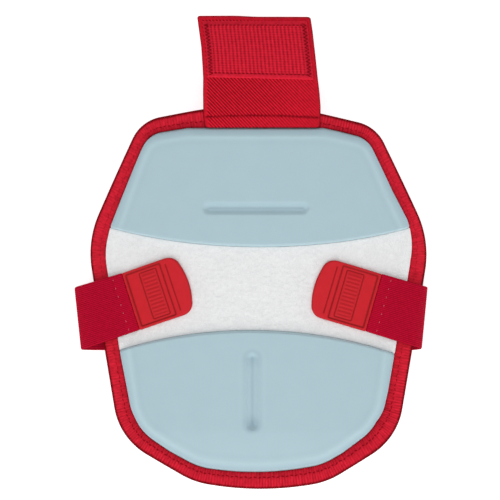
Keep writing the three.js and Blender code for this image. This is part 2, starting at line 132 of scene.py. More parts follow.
EDGE_LEAN = 0.0083
EDGE_LEAN_FROM = 59
BROW_SKEW = 1.8
EDGE_MIDDLE_DEPTH = 1.5
EDGE_POINTS = 1460
TOE = (0, -152.1, 200)
RIGHT_CORNERS = [(41.9, -146, 50), (86.9, -118.7, 42), (109, 7.9, 63), (75, 82.1, 24)]
LEFT_CORNERS = [(-74.1, 82.1, 24), (-109, 7.9, 63), (-89.3, -118.7, 42), (-41.9, -146, 50)]
BROW = (0, 97.6, 213)


def guard_outline():
    """The guard's outer edge, anticlockwise from the middle of the toe. It lies a little turned."""
    corners = []
    for x, y, radius in [TOE, *RIGHT_CORNERS, BROW, *LEFT_CORNERS]:
        skew = BROW_SKEW * np.sign(x) if y > HEM_LOW else 0
        corners.append((x + EDGE_LEAN * (EDGE_LEAN_FROM - y), y - skew, radius))
    loop = rounded_outline(corners)
    loop[:, 0] = unrolled(loop[:, 0], EDGE_MIDDLE_DEPTH)
    loop = closed_evenly(loop, EDGE_POINTS)
    toe = np.argmin(np.abs(loop[:, 0]) + 2 * loop[:, 1])
    return np.roll(loop, -toe, axis=0)


def sewn_piece(name, points, faces, cloth, painted_shade_and_tone, finish):
    """An object that rides on the guard. Points are in mm, cloth is each point's place on the
    flat cloth in mm, and the painted shade value says from 0 to 1 how much painted shade a point
    carries: shade in valleys, creases, recesses and at edges, less where a highlight is painted,
    with some random tone mixed in on a few pieces."""
    mesh = bpy.data.meshes.new(name)
    mesh.from_pydata((points.reshape(-1, 3) * MM).tolist(), [], faces.tolist())
    corners = faces.ravel()
    mesh.uv_layers.new(name="cloth").uv.foreach_set("vector", cloth.reshape(-1, 2)[corners].ravel())
    mesh.attributes.new("painted_shade_and_tone", "FLOAT", "POINT").data.foreach_set("value", painted_shade_and_tone.ravel())
    mesh.shade_smooth()
    mesh.set_sharp_from_angle(angle=SHARP_ANGLE)
    mesh.materials.append(finish)
    piece = bpy.data.objects.new(name, mesh)
    bpy.context.scene.collection.objects.link(piece)
    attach(piece, BODY)
    return piece


def joined(rows):
    """Rows of point numbers that each come round to their own start."""
    rows = np.asarray(rows)
    return np.hstack([rows, rows[:, :1]])


def quads(grid):
    """Faces between the rows and columns of a grid of point numbers."""
    return np.stack([grid[:-1, :-1], grid[:-1, 1:], grid[1:, 1:], grid[1:, :-1]], axis=-1).reshape(-1, 4)


def pad_side(rim, spine, ring_count):
    """Flat points and faces of one side of a pad, in rings that step from its rim to a spine."""
    count = len(rim)
    along_spine = np.minimum(np.arange(count), count - np.arange(count))
    shares = (1 - np.cos(np.linspace(0, np.pi, ring_count + 1))) / 2
    rings = rim + shares[:-1, None, None] * (spine[along_spine] - rim)
    index = np.vstack([np.arange(ring_count * count).reshape(ring_count, count),
                       ring_count * count + along_spine])
    return np.vstack([rings.reshape(-1, 2), spine]), quads(joined(index))


def pad_piece(name, rim, spine, front, back_depth, rings, finish):
    """A closed pad. front gives the depth and the painted shade of points on the flat drawing."""
    front_flat, front_faces = pad_side(rim, spine, rings[0])
    back_flat, back_faces = pad_side(rim, spine, rings[1])
    front_depth, painted_shade_and_tone = front(front_flat)
    points = np.vstack([wrap(*front_flat.T, front_depth), wrap(*back_flat.T, back_depth)])
    rim_front = np.arange(len(rim))
    rim_back = rim_front + len(front_flat)
    wall = quads(joined([rim_back, rim_front]))
    faces = np.vstack([front_faces, back_faces[:, ::-1] + len(front_flat), wall])
    painted_shade_and_tone = np.concatenate([painted_shade_and_tone, np.zeros(len(back_flat))])
    return sewn_piece(name, points, faces, np.vstack([front_flat, back_flat]), painted_shade_and_tone, finish)


class Dye:
    """One socket among the nodes of a finish. Sums that are written with it add Math nodes."""

    def __init__(self, tree, socket=None):
        self.tree = tree
        self.socket = socket

    def node(self, kind, settings=None, inputs=None, output=0):
        made = self.tree.nodes.new(kind)
        for name, value in (settings or {}).items():
            setattr(made, name, value)
        for name, value in (inputs or {}).items():
            if isinstance(value, Dye):
                self.tree.links.new(value.socket, made.inputs[name])
            else:
                made.inputs[name].default_value = value
        return Dye(self.tree, made.outputs[output])

    def maths(self, operation, *values):
        return self.node("ShaderNodeMath", {"operation": operation}, dict(enumerate(values)))

    def __add__(self, other):
        return self.maths("ADD", self, other)

    def __sub__(self, other):
        return self.maths("SUBTRACT", self, other)

    def __rsub__(self, other):
        return self.maths("SUBTRACT", other, self)

    def __mul__(self, other):
        return self.maths("MULTIPLY", self, other)

    __radd__ = __add__
    __rmul__ = __mul__

    def wave(self, pitch):
        """A wave from 0 to 1 whose crests are pitch mm apart."""
        return self.maths("SINE", self * (math.tau / pitch)) * 0.5 + 0.5

    def between(self, low, high):
        """The colour low where this is 0, and high where it is 1."""
        return self.node("ShaderNodeMix", {"data_type": "RGBA"}, {0: self, 6: low, 7: high}, 2)


class Cloth(Dye):
    """What a finish reads from a piece: its place on the flat cloth, in mm, and its painted shade."""

    def __init__(self, tree):
        super().__init__(tree)
        self.flat = self.node("ShaderNodeUVMap", {"uv_map": "cloth"})
        self.across = self.node("ShaderNodeSeparateXYZ", inputs={0: self.flat})
        self.along = Dye(tree, self.across.socket.node.outputs[1])
        self.painted_shade_and_tone = self.node("ShaderNodeAttribute", {"attribute_name": "painted_shade_and_tone"}, output="Fac")

    def mottle(self, size, detail=2.0):
        """Soft patches from 0 to 1, about size mm across."""
        settings = {"noise_dimensions": "2D"}
        return self.node("ShaderNodeTexNoise", settings,
                         {"Vector": self.flat, "Scale": 1 / size, "Detail": detail})


def dyed(red, green, blue):
    """A colour in display values from 0 to 255, as the linear light that a shader takes."""
    return tuple(((value / 255 + 0.055) / 1.055) ** 2.4 for value in (red, green, blue)) + (1.0,)


def new_finish(name, pattern, roughness=0.85, gloss=0.04, sheen=0.0):
    """A material from a pattern that gives the colour and the relief, in mm, over a cloth."""
    finish = bpy.data.materials.new(name)
    finish.use_nodes = True
    tree = finish.node_tree
    skin = tree.nodes["Principled BSDF"]
    skin.inputs["Roughness"].default_value = roughness
    skin.inputs["Specular IOR Level"].default_value = gloss
    skin.inputs["Sheen Weight"].default_value = sheen
    cloth = Cloth(tree)
    colour, relief = pattern(cloth)
    bump = cloth.node("ShaderNodeBump", inputs={"Strength": 1.0, "Distance": MM, "Height": relief})
    tree.links.new(colour.socket, skin.inputs["Base Color"])
    tree.links.new(bump.socket, skin.inputs["Normal"])
    return finish


KNIT_PITCH = 1.3
KNIT_SHADE = dyed(150, 174, 184)
KNIT_LIGHT = dyed(173, 197, 207)


def knit_pattern(cloth):
    loops = cloth.across.wave(KNIT_PITCH) * (0.4 + 0.6 * cloth.along.wave(KNIT_PITCH))
    tone = 0.6 * loops + 0.4 * cloth.mottle(6)
    return tone.between(KNIT_SHADE, KNIT_LIGHT), 0.12 * loops


BACKING_THICK = 3
BACKING_INSET = 2.1
BACKING_POINTS = 480
BACKING_RINGS = (10, 26)
BACKING_SPINE = [(0, -100), (0, 45)]
guard_edge = guard_outline()
backing_rim = closed_evenly(inset(guard_edge, BACKING_INSET), BACKING_POINTS)
backing_spine = np.linspace(*BACKING_SPINE, BACKING_POINTS // 2 + 1)


def backing_front(flat):
    return np.full(len(flat), float(BACKING_THICK)), np.zeros(len(flat))


lining = new_finish("pale_knit_lining", knit_pattern, gloss=0.15, sheen=0.2)
foam_backing = pad_piece("foam_backing", backing_rim, backing_spine, backing_front, 0.0,
                         BACKING_RINGS, lining)
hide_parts("backing")

# Loop field: white brushed loop pile in the waist between the two panels, for the tabs to grip.
# It is a thin knit with a raised nap, glued and sewn to the backing, so it lies low and level.
GAP = 0.3
LAYER_FOOT = BACKING_THICK + GAP
PILE_THICK = 1.5
PILE_NAP = 0.16
PILE_EDGE = 1.2
PILE_EDGE_THICK = 1.2
PILE_CLEAR = 0.1
PILE_ROWS = 84
PILE_COLUMNS = 260
PILE_SPANS = (53, 195)
PILE_SIDE_REACH = 0.7
LOOP_SIZE = 0.7
TUFT_SIZE = 1.8
PILE_SHADE = dyed(222, 223, 224)
PILE_LIGHT = dyed(253, 253, 253)
UPPER_WAIST_X = 1.5
UPPER_WAIST_Y = 3.5
UPPER_WAIST_RADIUS = 390
LOWER_WAIST_X = -4.1
LOWER_WAIST_Y = -49.3
LOWER_WAIST_RADIUS = 282


def upper_waist(x):
    return UPPER_WAIST_Y + (x - UPPER_WAIST_X) ** 2 / (2 * UPPER_WAIST_RADIUS)


def lower_waist(x):
    return LOWER_WAIST_Y - (x - LOWER_WAIST_X) ** 2 / (2 * LOWER_WAIST_RADIUS)


TAPE_MIDDLE_Y = -30
tape_turn, tape_width = np.array([
    (0, 12.4), (12, 12.5), (28, 9), (38, 9.7), (66, 8.6), (112, 10.2), (130, 9.1), (158, 12.2),
    (200, 11), (222, 12.2), (240, 9.5), (286, 11.4), (299, 11), (315, 14.2), (328, 12.6), (360, 12.4),
]).T


def tape_width_at(loop):
    """The binding's width. It is eased on by hand, so it changes with the angle round the guard."""
    turn = np.degrees(np.arctan2(loop[:, 1] - TAPE_MIDDLE_Y, loop[:, 0])) % 360
    return np.interp(turn, tape_turn, tape_width)


def tape_edge(loop, clear):
    """The line at a clearance inside the binding. Under the flap's hem it is level."""
    inner = inset(loop, tape_width_at(loop)[:, None] + clear)
    inner[:, 1] = np.minimum(inner[:, 1], HEM_LOW - clear)
    return inner


def mottled(rows, columns, cell, seed):
    """Soft random heights from -1 to 1 on a grid, with one random value every cell points."""
    coarse_rows = rows // cell + 2
    coarse_columns = columns // cell + 2
    values = np.random.default_rng(seed).uniform(-1, 1, (coarse_rows, coarse_columns))
    row = np.arange(rows) / cell
    column = np.arange(columns) / cell
    down = np.stack([np.interp(row, np.arange(coarse_rows), line) for line in values.T], axis=1)
    return np.stack([np.interp(column, np.arange(coarse_columns), line) for line in down])


def sheet_piece(name, front, back, cloth, painted_shade_and_tone, finish):
    """A closed sheet between two grids of points whose rows and columns match."""
    rows, columns = front.shape[:2]
    top = np.arange(rows * columns).reshape(rows, columns)
    low = top + rows * columns
    around = np.concatenate([top[0, :-1], top[:-1, -1], top[-1, :0:-1], top[:0:-1, 0]])
    wall = quads(joined([around + rows * columns, around]))
    faces = np.vstack([quads(top), quads(low)[:, ::-1], wall])
    points = np.concatenate([front.reshape(-1, 3), back.reshape(-1, 3)])
    return sewn_piece(name, points, faces, np.concatenate([cloth, cloth]),
                      np.concatenate([painted_shade_and_tone, painted_shade_and_tone]), finish)


def pile_grid():
    """Flat points of the loop field, in rows from the lower waist to the upper one."""
    side = tape_edge(guard_edge, GAP)
    low = lower_waist(side[:, 0]) + PILE_CLEAR
    high = upper_waist(side[:, 0]) - PILE_CLEAR
    share = (side[:, 1] - low) / (high - low)
    row = np.linspace(0, 1, PILE_ROWS)
    ends = []
    for sign in (-1, 1):
        beside = (side[:, 0] * sign > 0) & (np.abs(share - 0.5) < PILE_SIDE_REACH)
        order = np.argsort(share[beside])
        ends.append(np.interp(row, share[beside][order], side[beside][order, 0]))
    x = ends[0][:, None] + np.linspace(0, 1, PILE_COLUMNS) * (ends[1] - ends[0])[:, None]
    low = lower_waist(x) + PILE_CLEAR
    high = upper_waist(x) - PILE_CLEAR
    return x, low + row[:, None] * (high - low)


def pile_pattern(cloth):
    loops = cloth.mottle(LOOP_SIZE, detail=3.0)
    # Painted shade: the pile is darker where its nap lies low, with random tone from the mottles.
    tone = 0.45 * loops + 0.35 * cloth.mottle(TUFT_SIZE) + 0.2 * (1 - cloth.painted_shade_and_tone)
    return tone.between(PILE_SHADE, PILE_LIGHT), 0.3 * loops


def rounded_share(rows, columns, spans, width):
    """How far an edge has rounded up, from 0 at a sheet's rim to 1 at width mm inside it."""
    from_side = np.minimum(np.arange(columns), np.arange(columns)[::-1]) * spans[1] / (columns - 1)
    from_end = np.minimum(np.arange(rows), np.arange(rows)[::-1]) * spans[0] / (rows - 1)
    reach = np.clip(np.minimum(from_end[:, None], from_side) / width, 0, 1)
    return np.sqrt(1 - (1 - reach) ** 2)


pile_x, pile_y = pile_grid()
nap = (mottled(PILE_ROWS, PILE_COLUMNS, cell=2, seed=11)
       + 0.6 * mottled(PILE_ROWS, PILE_COLUMNS, cell=7, seed=12))
pile_edge = rounded_share(PILE_ROWS, PILE_COLUMNS, PILE_SPANS, PILE_EDGE)
pile_depth = LAYER_FOOT + PILE_EDGE_THICK + (PILE_THICK - PILE_EDGE_THICK + PILE_NAP * nap) * pile_edge
loop_pile = new_finish("white_loop_pile", pile_pattern, roughness=0.95, gloss=0.05, sheen=0.3)
# Painted shade for the pile comes from how low its nap lies.
loop_field = sheet_piece("loop_field", wrap(pile_x, pile_y, pile_depth),
                         wrap(pile_x, pile_y, np.full_like(pile_x, LAYER_FOOT)),
                         np.stack([pile_x, pile_y], axis=-1), np.clip(0.5 - 0.5 * nap, 0, 1), loop_pile)
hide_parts("loop_panel")

# Upper and lower panels: blocks of closed-cell foam with pale blue cloth pressed over them in a mould.
# Each rises steeply beside the tape, rolls over to a level face and has one pressed groove.
# The lower one slopes down from a straight fold towards the toe.
PANEL_TOP = 8.5
PANEL_WALL = 0.7
PANEL_RISE = PANEL_TOP - PANEL_WALL - LAYER_FOOT
PANEL_HALF_RIM = 280
PANEL_RINGS = (52, 6)
FACET_WIDTH = 5.5
FACET_WIDTH_AT_WAIST = 8
FACET_WIDENS = 45
FACET_FOOT = 0.22
FACET_FOOT_RISE = 0.6
WAIST_ROLL = 1.8
CREST = 0.08
CREST_WIDTH = 0.9
GROOVE_DEPTH = 2
GROOVE_FLOOR = 0.9
GROOVE_HALF = 4.5
GROOVE_END_SHADE = 4.5
UPPER_GROOVE = [(-29.5, 27.9), (26.8, 27.9)]
LOWER_GROOVE = [(-3.5, -109), (-3.5, -67.3)]
SHADE_RIPPLE = 2.5
SHADE_RIPPLE_FADE = 5.5
TOE_FOLD_Y = -113.3
TOE_SLOPE = 0.075
TOE_FADE = 20
BROW_SHADE_REACH = 6
BROW_SHADE_HALF = 42
BROW_SHADE_FADE = 6
SHADE_FADE = 1.5
PANEL_NAP = 0.9
PANEL_PATCH = 14
WAIST_POINTS = 120
LOWER_TAPE_POINTS = 170
HALF_WAIST_POINTS = PANEL_HALF_RIM - LOWER_TAPE_POINTS
# Painted shade and highlights by a panel's edge: how far in each lies, its width, and how dark it is.
FOOT_SHADOW = (1.5, 1.6, 0.5)
CREST_HIGHLIGHT = (0, 1.4, -0.45)
BEYOND_CREST_SHADE = (3.6, 1.3, 0.12)
WAIST_HIGHLIGHT = (0, 0.9, -0.9)
PANEL_SHADE = dyed(138, 163, 176)
PANEL_LIGHT = dyed(196, 221, 228)


def distance_to(line, points):
    nearest = np.full(len(points), np.inf)
    for start, end in zip(line[:-1], line[1:]):
        span = end - start
        share = np.clip((points - start) @ span / (span @ span), 0, 1)
        nearest = np.minimum(nearest, np.linalg.norm(points - start - share[:, None] * span, axis=1))
    return nearest


def chained(*stretches):
    """One closed line from stretches, each given as its points and the number that it gets."""
    return np.concatenate([evenly(line, count + 1)[:-1] for line, count in stretches])


def waist_line(waist, start_x, end_x):
    x = np.linspace(start_x, end_x, WAIST_POINTS)
    return np.stack([x, waist(x)], axis=1)


def ramp(values, start, end):
    """From 0 at start to 1 at end, and level beyond both."""
    return np.clip((values - start) / (end - start), 0, 1)


def soft_band(distance, middle, width, height):
    """A rounded ridge, as high as height in its middle, that fades out over width to each side."""
    return height * np.exp(-((distance - middle) / width) ** 2)


def roll_over(distance, width):
    """How far a rounded edge has risen, from 0 at its foot to 1 at width mm inside it."""
    return 1 - (1 - ramp(distance, 0, width)) ** 2


def facet(distance, width):
    """How far a pressed foam edge has risen: a steep foot, then a flat slope up to a crest."""
    share = ramp(distance, 0, width)
    return FACET_FOOT_RISE * roll_over(share, FACET_FOOT) + (1 - FACET_FOOT_RISE) * share


def panel_front(tape_line, waist, groove, ripple_shaded):
    """The depth and painted shade of a panel's face between a stretch of tape, a waist and round a groove.
    Painted shadow lies at the foot of the facet beside the tape and under the brow, painted highlights
    on the facet's crest and along the waist edge, and painted shade in the groove. With ripple shade, a
    groove gets painted lines of shade and light along it and painted shade at both ends, most at its first
    end."""

    def front(flat):
        x, y = flat.T
        from_tape = distance_to(tape_line, flat)
        from_waist = distance_to(waist, flat)
        from_groove = distance_to(groove, flat)
        near_waist = ramp(from_waist, FACET_WIDENS, 0)
        facet_width = FACET_WIDTH + (FACET_WIDTH_AT_WAIST - FACET_WIDTH) * near_waist
        past_crest = from_tape - facet_width
        to_toe = np.maximum(TOE_FOLD_Y - y, 0)
        on_toe = ramp(to_toe, 0, TOE_FADE)
        pressed = 0.5 + 0.5 * np.cos(np.pi * ramp(from_groove, GROOVE_FLOOR, GROOVE_HALF))
        crest = soft_band(past_crest, 0, CREST_WIDTH, CREST) * (1 - on_toe)
        face = PANEL_RISE - TOE_SLOPE * to_toe - GROOVE_DEPTH * pressed + crest
        rise = facet(from_tape, facet_width) * roll_over(from_waist, WAIST_ROLL)

        brow_low = HEM_LOW - BROW_SHADE_REACH
        brow_shadow = (ramp(y, brow_low, brow_low + SHADE_FADE) * ramp(past_crest, 0, -SHADE_FADE)
                      * ramp(np.abs(x), BROW_SHADE_HALF, BROW_SHADE_HALF - BROW_SHADE_FADE))
        # Painted shade: shadow at the tape's foot, under the brow and in the groove, less down the toe
        # slope; painted highlights on the facet's crest and the waist edge, painted shade just beyond the
        # crest.
        painted_shade_and_tone = (0.5 + 0.15 * (brow_shadow + pressed - on_toe)
                  + soft_band(from_tape, *FOOT_SHADOW) + soft_band(from_waist, *WAIST_HIGHLIGHT)
                  + soft_band(past_crest, *CREST_HIGHLIGHT) * (1 - 0.7 * on_toe)
                  + soft_band(past_crest, *BEYOND_CREST_SHADE))
        # Painted shade along the groove: with ripple shade, painted lines of shade and light beside it and
        # painted shade at both ends, most at its first end; otherwise painted shade on its floor.
        if ripple_shaded:
            shade_ripple = np.cos(np.pi * from_groove / SHADE_RIPPLE) * soft_band(from_groove, 0, SHADE_RIPPLE_FADE, 0.5)
            first_end, last_end = (np.linalg.norm(flat - end, axis=1) for end in groove)
            painted_shade_and_tone = (painted_shade_and_tone + shade_ripple + soft_band(first_end, 0, GROOVE_END_SHADE, 1)
                      + soft_band(last_end, 0, GROOVE_END_SHADE, 0.5))
        else:
            painted_shade_and_tone = painted_shade_and_tone + soft_band(from_groove, 0, GROOVE_FLOOR, 0.6)
        return LAYER_FOOT + PANEL_WALL + face * rise, painted_shade_and_tone

    return front


def panel_pattern(cloth):
    nap = cloth.mottle(PANEL_NAP)
    # Random nap and patches of tone, darkened by the painted shade.
    tone = (0.76 + 0.06 * (nap - 0.5) + 0.06 * (cloth.mottle(PANEL_PATCH) - 0.5)
            - 0.32 * cloth.painted_shade_and_tone)
    return tone.between(PANEL_SHADE, PANEL_LIGHT), 0.035 * nap


def upper_pad_lines():
    """The upper panel's stretches: its waist from left to right, then the tape back to the left."""
    loop = tape_edge(guard_edge, GAP)
    tape_line = loop[loop[:, 1] > upper_waist(loop[:, 0])]
    waist = waist_line(upper_waist, tape_line[-1, 0], tape_line[0, 0])
    return waist, np.vstack([waist[-1:], tape_line, waist[:1]])


def lower_pad_lines():
    """The lower panel's stretches: tape from the toe up the right, the waist, and tape down the left."""
    loop = tape_edge(guard_edge, GAP)
    below = loop[:, 1] < lower_waist(loop[:, 0])
    right_tape = loop[below & (np.arange(len(loop)) < len(loop) // 2)]
    left_tape = loop[below & (np.arange(len(loop)) >= len(loop) // 2)]
    waist = waist_line(lower_waist, right_tape[-1, 0], left_tape[0, 0])
    return (np.vstack([right_tape, waist[:1]]), waist, np.vstack([waist[-1:], left_tape, right_tape[:1]]))


panel_cloth = new_finish("pale_panel_cloth", panel_pattern, roughness=0.8, gloss=0.15, sheen=0.1)
upper_waist_line, upper_tape_line = upper_pad_lines()
upper_rim = chained((upper_waist_line, PANEL_HALF_RIM), (upper_tape_line, PANEL_HALF_RIM))
upper_spine = np.linspace(*UPPER_GROOVE, PANEL_HALF_RIM + 1)
upper_front = panel_front(upper_tape_line, upper_waist_line, np.array(UPPER_GROOVE), ripple_shaded=False)
upper_pad = pad_piece("upper_pad", upper_rim, upper_spine, upper_front, LAYER_FOOT, PANEL_RINGS,
                      panel_cloth)
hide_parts("upper_panel")

right_tape_line, lower_waist_line, left_tape_line = lower_pad_lines()
half_waist = len(lower_waist_line) // 2
lower_rim = chained((right_tape_line, LOWER_TAPE_POINTS),
                    (lower_waist_line[:half_waist + 1], HALF_WAIST_POINTS),
                    (lower_waist_line[half_waist:], HALF_WAIST_POINTS),
                    (left_tape_line, LOWER_TAPE_POINTS))
lower_spine = np.linspace(*LOWER_GROOVE, PANEL_HALF_RIM + 1)
lower_front = panel_front(np.vstack([left_tape_line[:-1], right_tape_line]), lower_waist_line,
                          np.array(LOWER_GROOVE), ripple_shaded=True)
lower_pad = pad_piece("lower_pad", lower_rim, lower_spine, lower_front, LAYER_FOOT, PANEL_RINGS,
                      panel_cloth)
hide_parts("lower_panel")

# Edge binding: red woven tape folded over the guard's whole edge and sewn through once, all round.
# Its front is ribbed across, and the strip inside the seam lies a little lower and is darker.
# Its section is drawn TAPE_WIDTH wide, and is then stretched to the tape's width at each place.
TAPE_WIDTH = 9.5
TAPE_LOW = -1.2
TAPE_HIGH = 4.2
TAPE_FOLD = 1.2
TAPE_WALL = 0.9
TAPE_SLOT = TAPE_FOLD + TAPE_WALL - GAP
TAPE_SEAM = 6.5
SEAM_SWAY = 0.35
TAPE_SEAM_DIP = 0.2
TAPE_BULGE = 0.2
TAPE_TUCK = 0.3
TAPE_FRONT_POINTS = 14
TAPE_FOLD_POINTS = 9
TAPE_BACK_POINTS = 5
SEAM_WIDTH = 0.7
SEAM_SHOWS_AT_TOE = (-55, -115)
SEAM_SHOWS_AT_HEM = (72, 84)
INNER_STRIP = (5, 7.5)
INNER_EDGE_SHADOW = 0.6
RIM_SHADE_AT_TOE = 1.7
RIM_SHADE_AT_SIDES = 2.5
RIM_SHADE_SIDE_X = 100
RIM_SHADE_FADE = 1.1
RIB_PITCH = 1.8
RIB_HEIGHT = 0.1
RIB_STEPS = 6
BINDING_SHADE = dyed(104, 0, 8)
BINDING_RED = dyed(244, 42, 64)


def tape_section():
    """Points round the tape's section: inset from the edge, depth, the outward way and rib height."""
    front_inset = np.linspace(TAPE_WIDTH, TAPE_FOLD, TAPE_FRONT_POINTS)
    seam = soft_band(front_inset, TAPE_SEAM, SEAM_WIDTH, 1)
    across = ramp(front_inset, TAPE_FOLD, TAPE_WIDTH)
    bulge = TAPE_BULGE * np.sin(np.pi * across) - TAPE_SEAM_DIP * seam - TAPE_TUCK * across ** 16
    ribbed = np.where(front_inset < TAPE_SEAM, 1, 0.75) * (1 - 0.5 * seam)
    front = np.stack([front_inset, TAPE_HIGH + bulge, 0 * across, 1 + 0 * across, ribbed], axis=1)
    turn = np.linspace(np.pi / 2, -np.pi / 2, TAPE_FOLD_POINTS)[1:]
    middle = (TAPE_LOW + TAPE_HIGH) / 2
    fold = np.stack([TAPE_FOLD * (1 - np.cos(turn)), middle + (TAPE_HIGH - middle) * np.sin(turn),
                     -np.cos(turn), np.sin(turn), 0.3 + 0 * turn], axis=1)
    back_inset = np.linspace(TAPE_FOLD, TAPE_WIDTH, TAPE_BACK_POINTS)[1:]
    back = np.stack([back_inset, TAPE_LOW + 0 * back_inset, 0 * back_inset, -1 + 0 * back_inset,
                     0.5 + 0 * back_inset], axis=1)
    inside = np.array([(TAPE_WIDTH, TAPE_LOW + TAPE_WALL), (TAPE_SLOT, TAPE_LOW + TAPE_WALL),
                       (TAPE_SLOT, TAPE_HIGH - TAPE_WALL), (TAPE_WIDTH, TAPE_HIGH - TAPE_WALL)])
    inside = np.hstack([inside, np.zeros((4, 3))])
    return np.vstack([front, fold, back, inside])


def tape_line_at(inset_width, count):
    """A line at one inset across the tape's section, all round the guard. The fold isn't stretched."""
    outer = closed_evenly(guard_edge, count)
    width = tape_width_at(outer)
    stretched = (width - TAPE_SLOT) / (TAPE_WIDTH - TAPE_SLOT)
    reach = min(inset_width, TAPE_SLOT) + max(inset_width - TAPE_SLOT, 0) * stretched
    return outer + (tape_edge(outer, 0) - outer) * (reach / width)[:, None]


def seam_shows(along):
    """How clearly ribs and seam show, from 0 to 1: most round the toe and beside the flap's hem."""
    return np.maximum(ramp(along, *SEAM_SHOWS_AT_TOE), ramp(along, *SEAM_SHOWS_AT_HEM))


def binding_mesh():
    girth = np.linalg.norm(guard_edge - np.roll(guard_edge, 1, axis=0), axis=1).sum()
    columns = round(girth / RIB_PITCH) * RIB_STEPS
    section = tape_section()
    phase = np.tile(np.cos(math.tau * np.arange(RIB_STEPS) / RIB_STEPS), columns // RIB_STEPS)
    outer = tape_line_at(0, columns)
    inward = direction(tape_line_at(TAPE_WIDTH, columns) - outer)
    shows = seam_shows(outer[:, 1])
    strength = (0.45 + 0.5 * shows) * (1 + 0.35 * mottled(2, columns, cell=90, seed=21)[0])
    flecks = mottled(len(section), columns, cell=3, seed=22)
    rim_shade_reach = RIM_SHADE_AT_TOE + (RIM_SHADE_AT_SIDES - RIM_SHADE_AT_TOE) * ramp(np.abs(outer[:, 0]), 0, RIM_SHADE_SIDE_X)
    travel = np.arange(columns) * girth / columns
    points = []
    painted_shade_and_tone = []
    cloth = []
    for (inset_width, depth, out_inset, out_depth, ribbed), fleck in zip(section, flecks):
        rib = RIB_HEIGHT * ribbed * strength * phase
        line = tape_line_at(inset_width, columns) + inward * (rib * out_inset)[:, None]
        points.append(wrap(*line.T, depth + rib * out_depth))
        # Painted shade in the rib valleys with painted light on the ribs, at the outer rim where the tape
        # turns under, and at its inner edge; random flecks of tone; the strip inside the seam is darker.
        inner_strip = (0.06 + 0.12 * shows) * ramp(inset_width, *INNER_STRIP)
        inner_edge_shadow = soft_band(inset_width, TAPE_WIDTH, INNER_EDGE_SHADOW, 0.3)
        rim = ramp(inset_width, rim_shade_reach, rim_shade_reach - RIM_SHADE_FADE)
        weave = 0.15 * phase * ribbed * strength + 0.16 * fleck
        painted_shade_and_tone.append(np.clip(0.33 + 0.03 * shows + inner_strip + inner_edge_shadow + rim - weave, 0, 1))
        cloth.append(np.stack([travel, np.full(columns, inset_width)], axis=1))
    index = np.arange(len(section) * columns).reshape(len(section), columns)
    faces = quads(joined(np.vstack([index, index[:1]])))[:, ::-1]
    return np.array(points), faces, np.array(cloth), np.array(painted_shade_and_tone)


THREAD_PITCH = 0.5
CLOTH_PATCH = 2.5


def webbing_pattern(shade, light):
    """Fine crossed threads in one colour, darkened by the painted shade that a piece marks, as in
    the valleys of its weave.
    """

    def pattern(cloth):
        threads = cloth.across.wave(THREAD_PITCH) * cloth.along.wave(THREAD_PITCH)
        tone = (0.9 + 0.1 * threads + 0.25 * (cloth.mottle(CLOTH_PATCH) - 0.5)
                - 0.85 * cloth.painted_shade_and_tone)
        return tone.between(shade, light), 0.05 * threads

    return pattern


def strewn_piece(name, form, places, finish):
    """Many copies of one small form in one mesh. A place is an origin and the three axes that the
    form is scaled along, in mm."""
    points, faces = form
    origin, along, across, up = places
    copies = (origin[:, None] + points[:, :1] * along[:, None] + points[:, 1:2] * across[:, None]
              + points[:, 2:] * up[:, None])
    offsets = np.arange(len(origin)) * len(points)
    all_faces = (faces[None] + offsets[:, None, None]).reshape(-1, 4)
    cloth = np.tile(points[:, :2], (len(origin), 1))
    return sewn_piece(name, copies, all_faces, cloth, np.zeros(len(cloth)), finish)


THREAD_SIDES = 6
STRAND_PITCH = 0.35


def thread_form(path, radius):
    """A short closed tube with THREAD_SIDES sides along a path of points in its own x and z."""
    angle = np.arange(THREAD_SIDES) * math.tau / THREAD_SIDES
    taper = 1 - 0.55 * np.linspace(-1, 1, len(path)) ** 6
    ahead = direction(np.gradient(path, axis=0))
    rise = np.sin(angle) * (radius * taper)[:, None]
    side = np.cos(angle) * (radius * taper)[:, None]
    x = path[:, :1] - ahead[:, 1:] * rise
    z = path[:, 1:] + ahead[:, :1] * rise
    ring = np.arange(len(path) * THREAD_SIDES).reshape(-1, THREAD_SIDES)
    cap = np.array([(0, 1, 2, 3), (0, 3, 4, 5)])
    faces = np.vstack([quads(joined(ring)), cap[:, ::-1], cap + ring[-1, 0]])
    return np.stack([x, side, z], axis=-1).reshape(-1, 3), faces


def stitch_form(radius, sink):
    """One stitch of thread, 1 long, that dips into the cloth at both ends."""
    share = np.linspace(-1, 1, 7)
    return thread_form(np.stack([share / 2, -sink * share ** 2], axis=1), radius)


def stitch_places(starts, ends, up):
    """Places for stitches from starts to ends that face up."""
    along = direction(ends - starts)
    across = direction(np.cross(up, along))
    return (starts + ends) / 2, ends - starts, across, np.cross(along, across)


def upward(points):
    return np.tile((0.0, 0.0, 1.0), (len(points), 1))


def stitch_row(line, share, up):
    """Places along a line of points, each for a stitch that fills a share of the step."""
    step = (line[1:] - line[:-1]) * share
    return stitch_places(line[:-1], line[:-1] + step, up[:-1])


def shin_normal(points):
    """The way out of the guard's front at points on it."""
    out = points - DRAWING_SHIFT - np.array([0, 0, CROWN_HEIGHT - SHIN_RADIUS])
    out[:, 1] = 0
    return direction(out)


def thread_pattern(dark, light):

    def pattern(cloth):
        strands = (cloth.across + cloth.along).wave(STRAND_PITCH)
        return strands.between(dark, light), 0.04 * strands

    return pattern


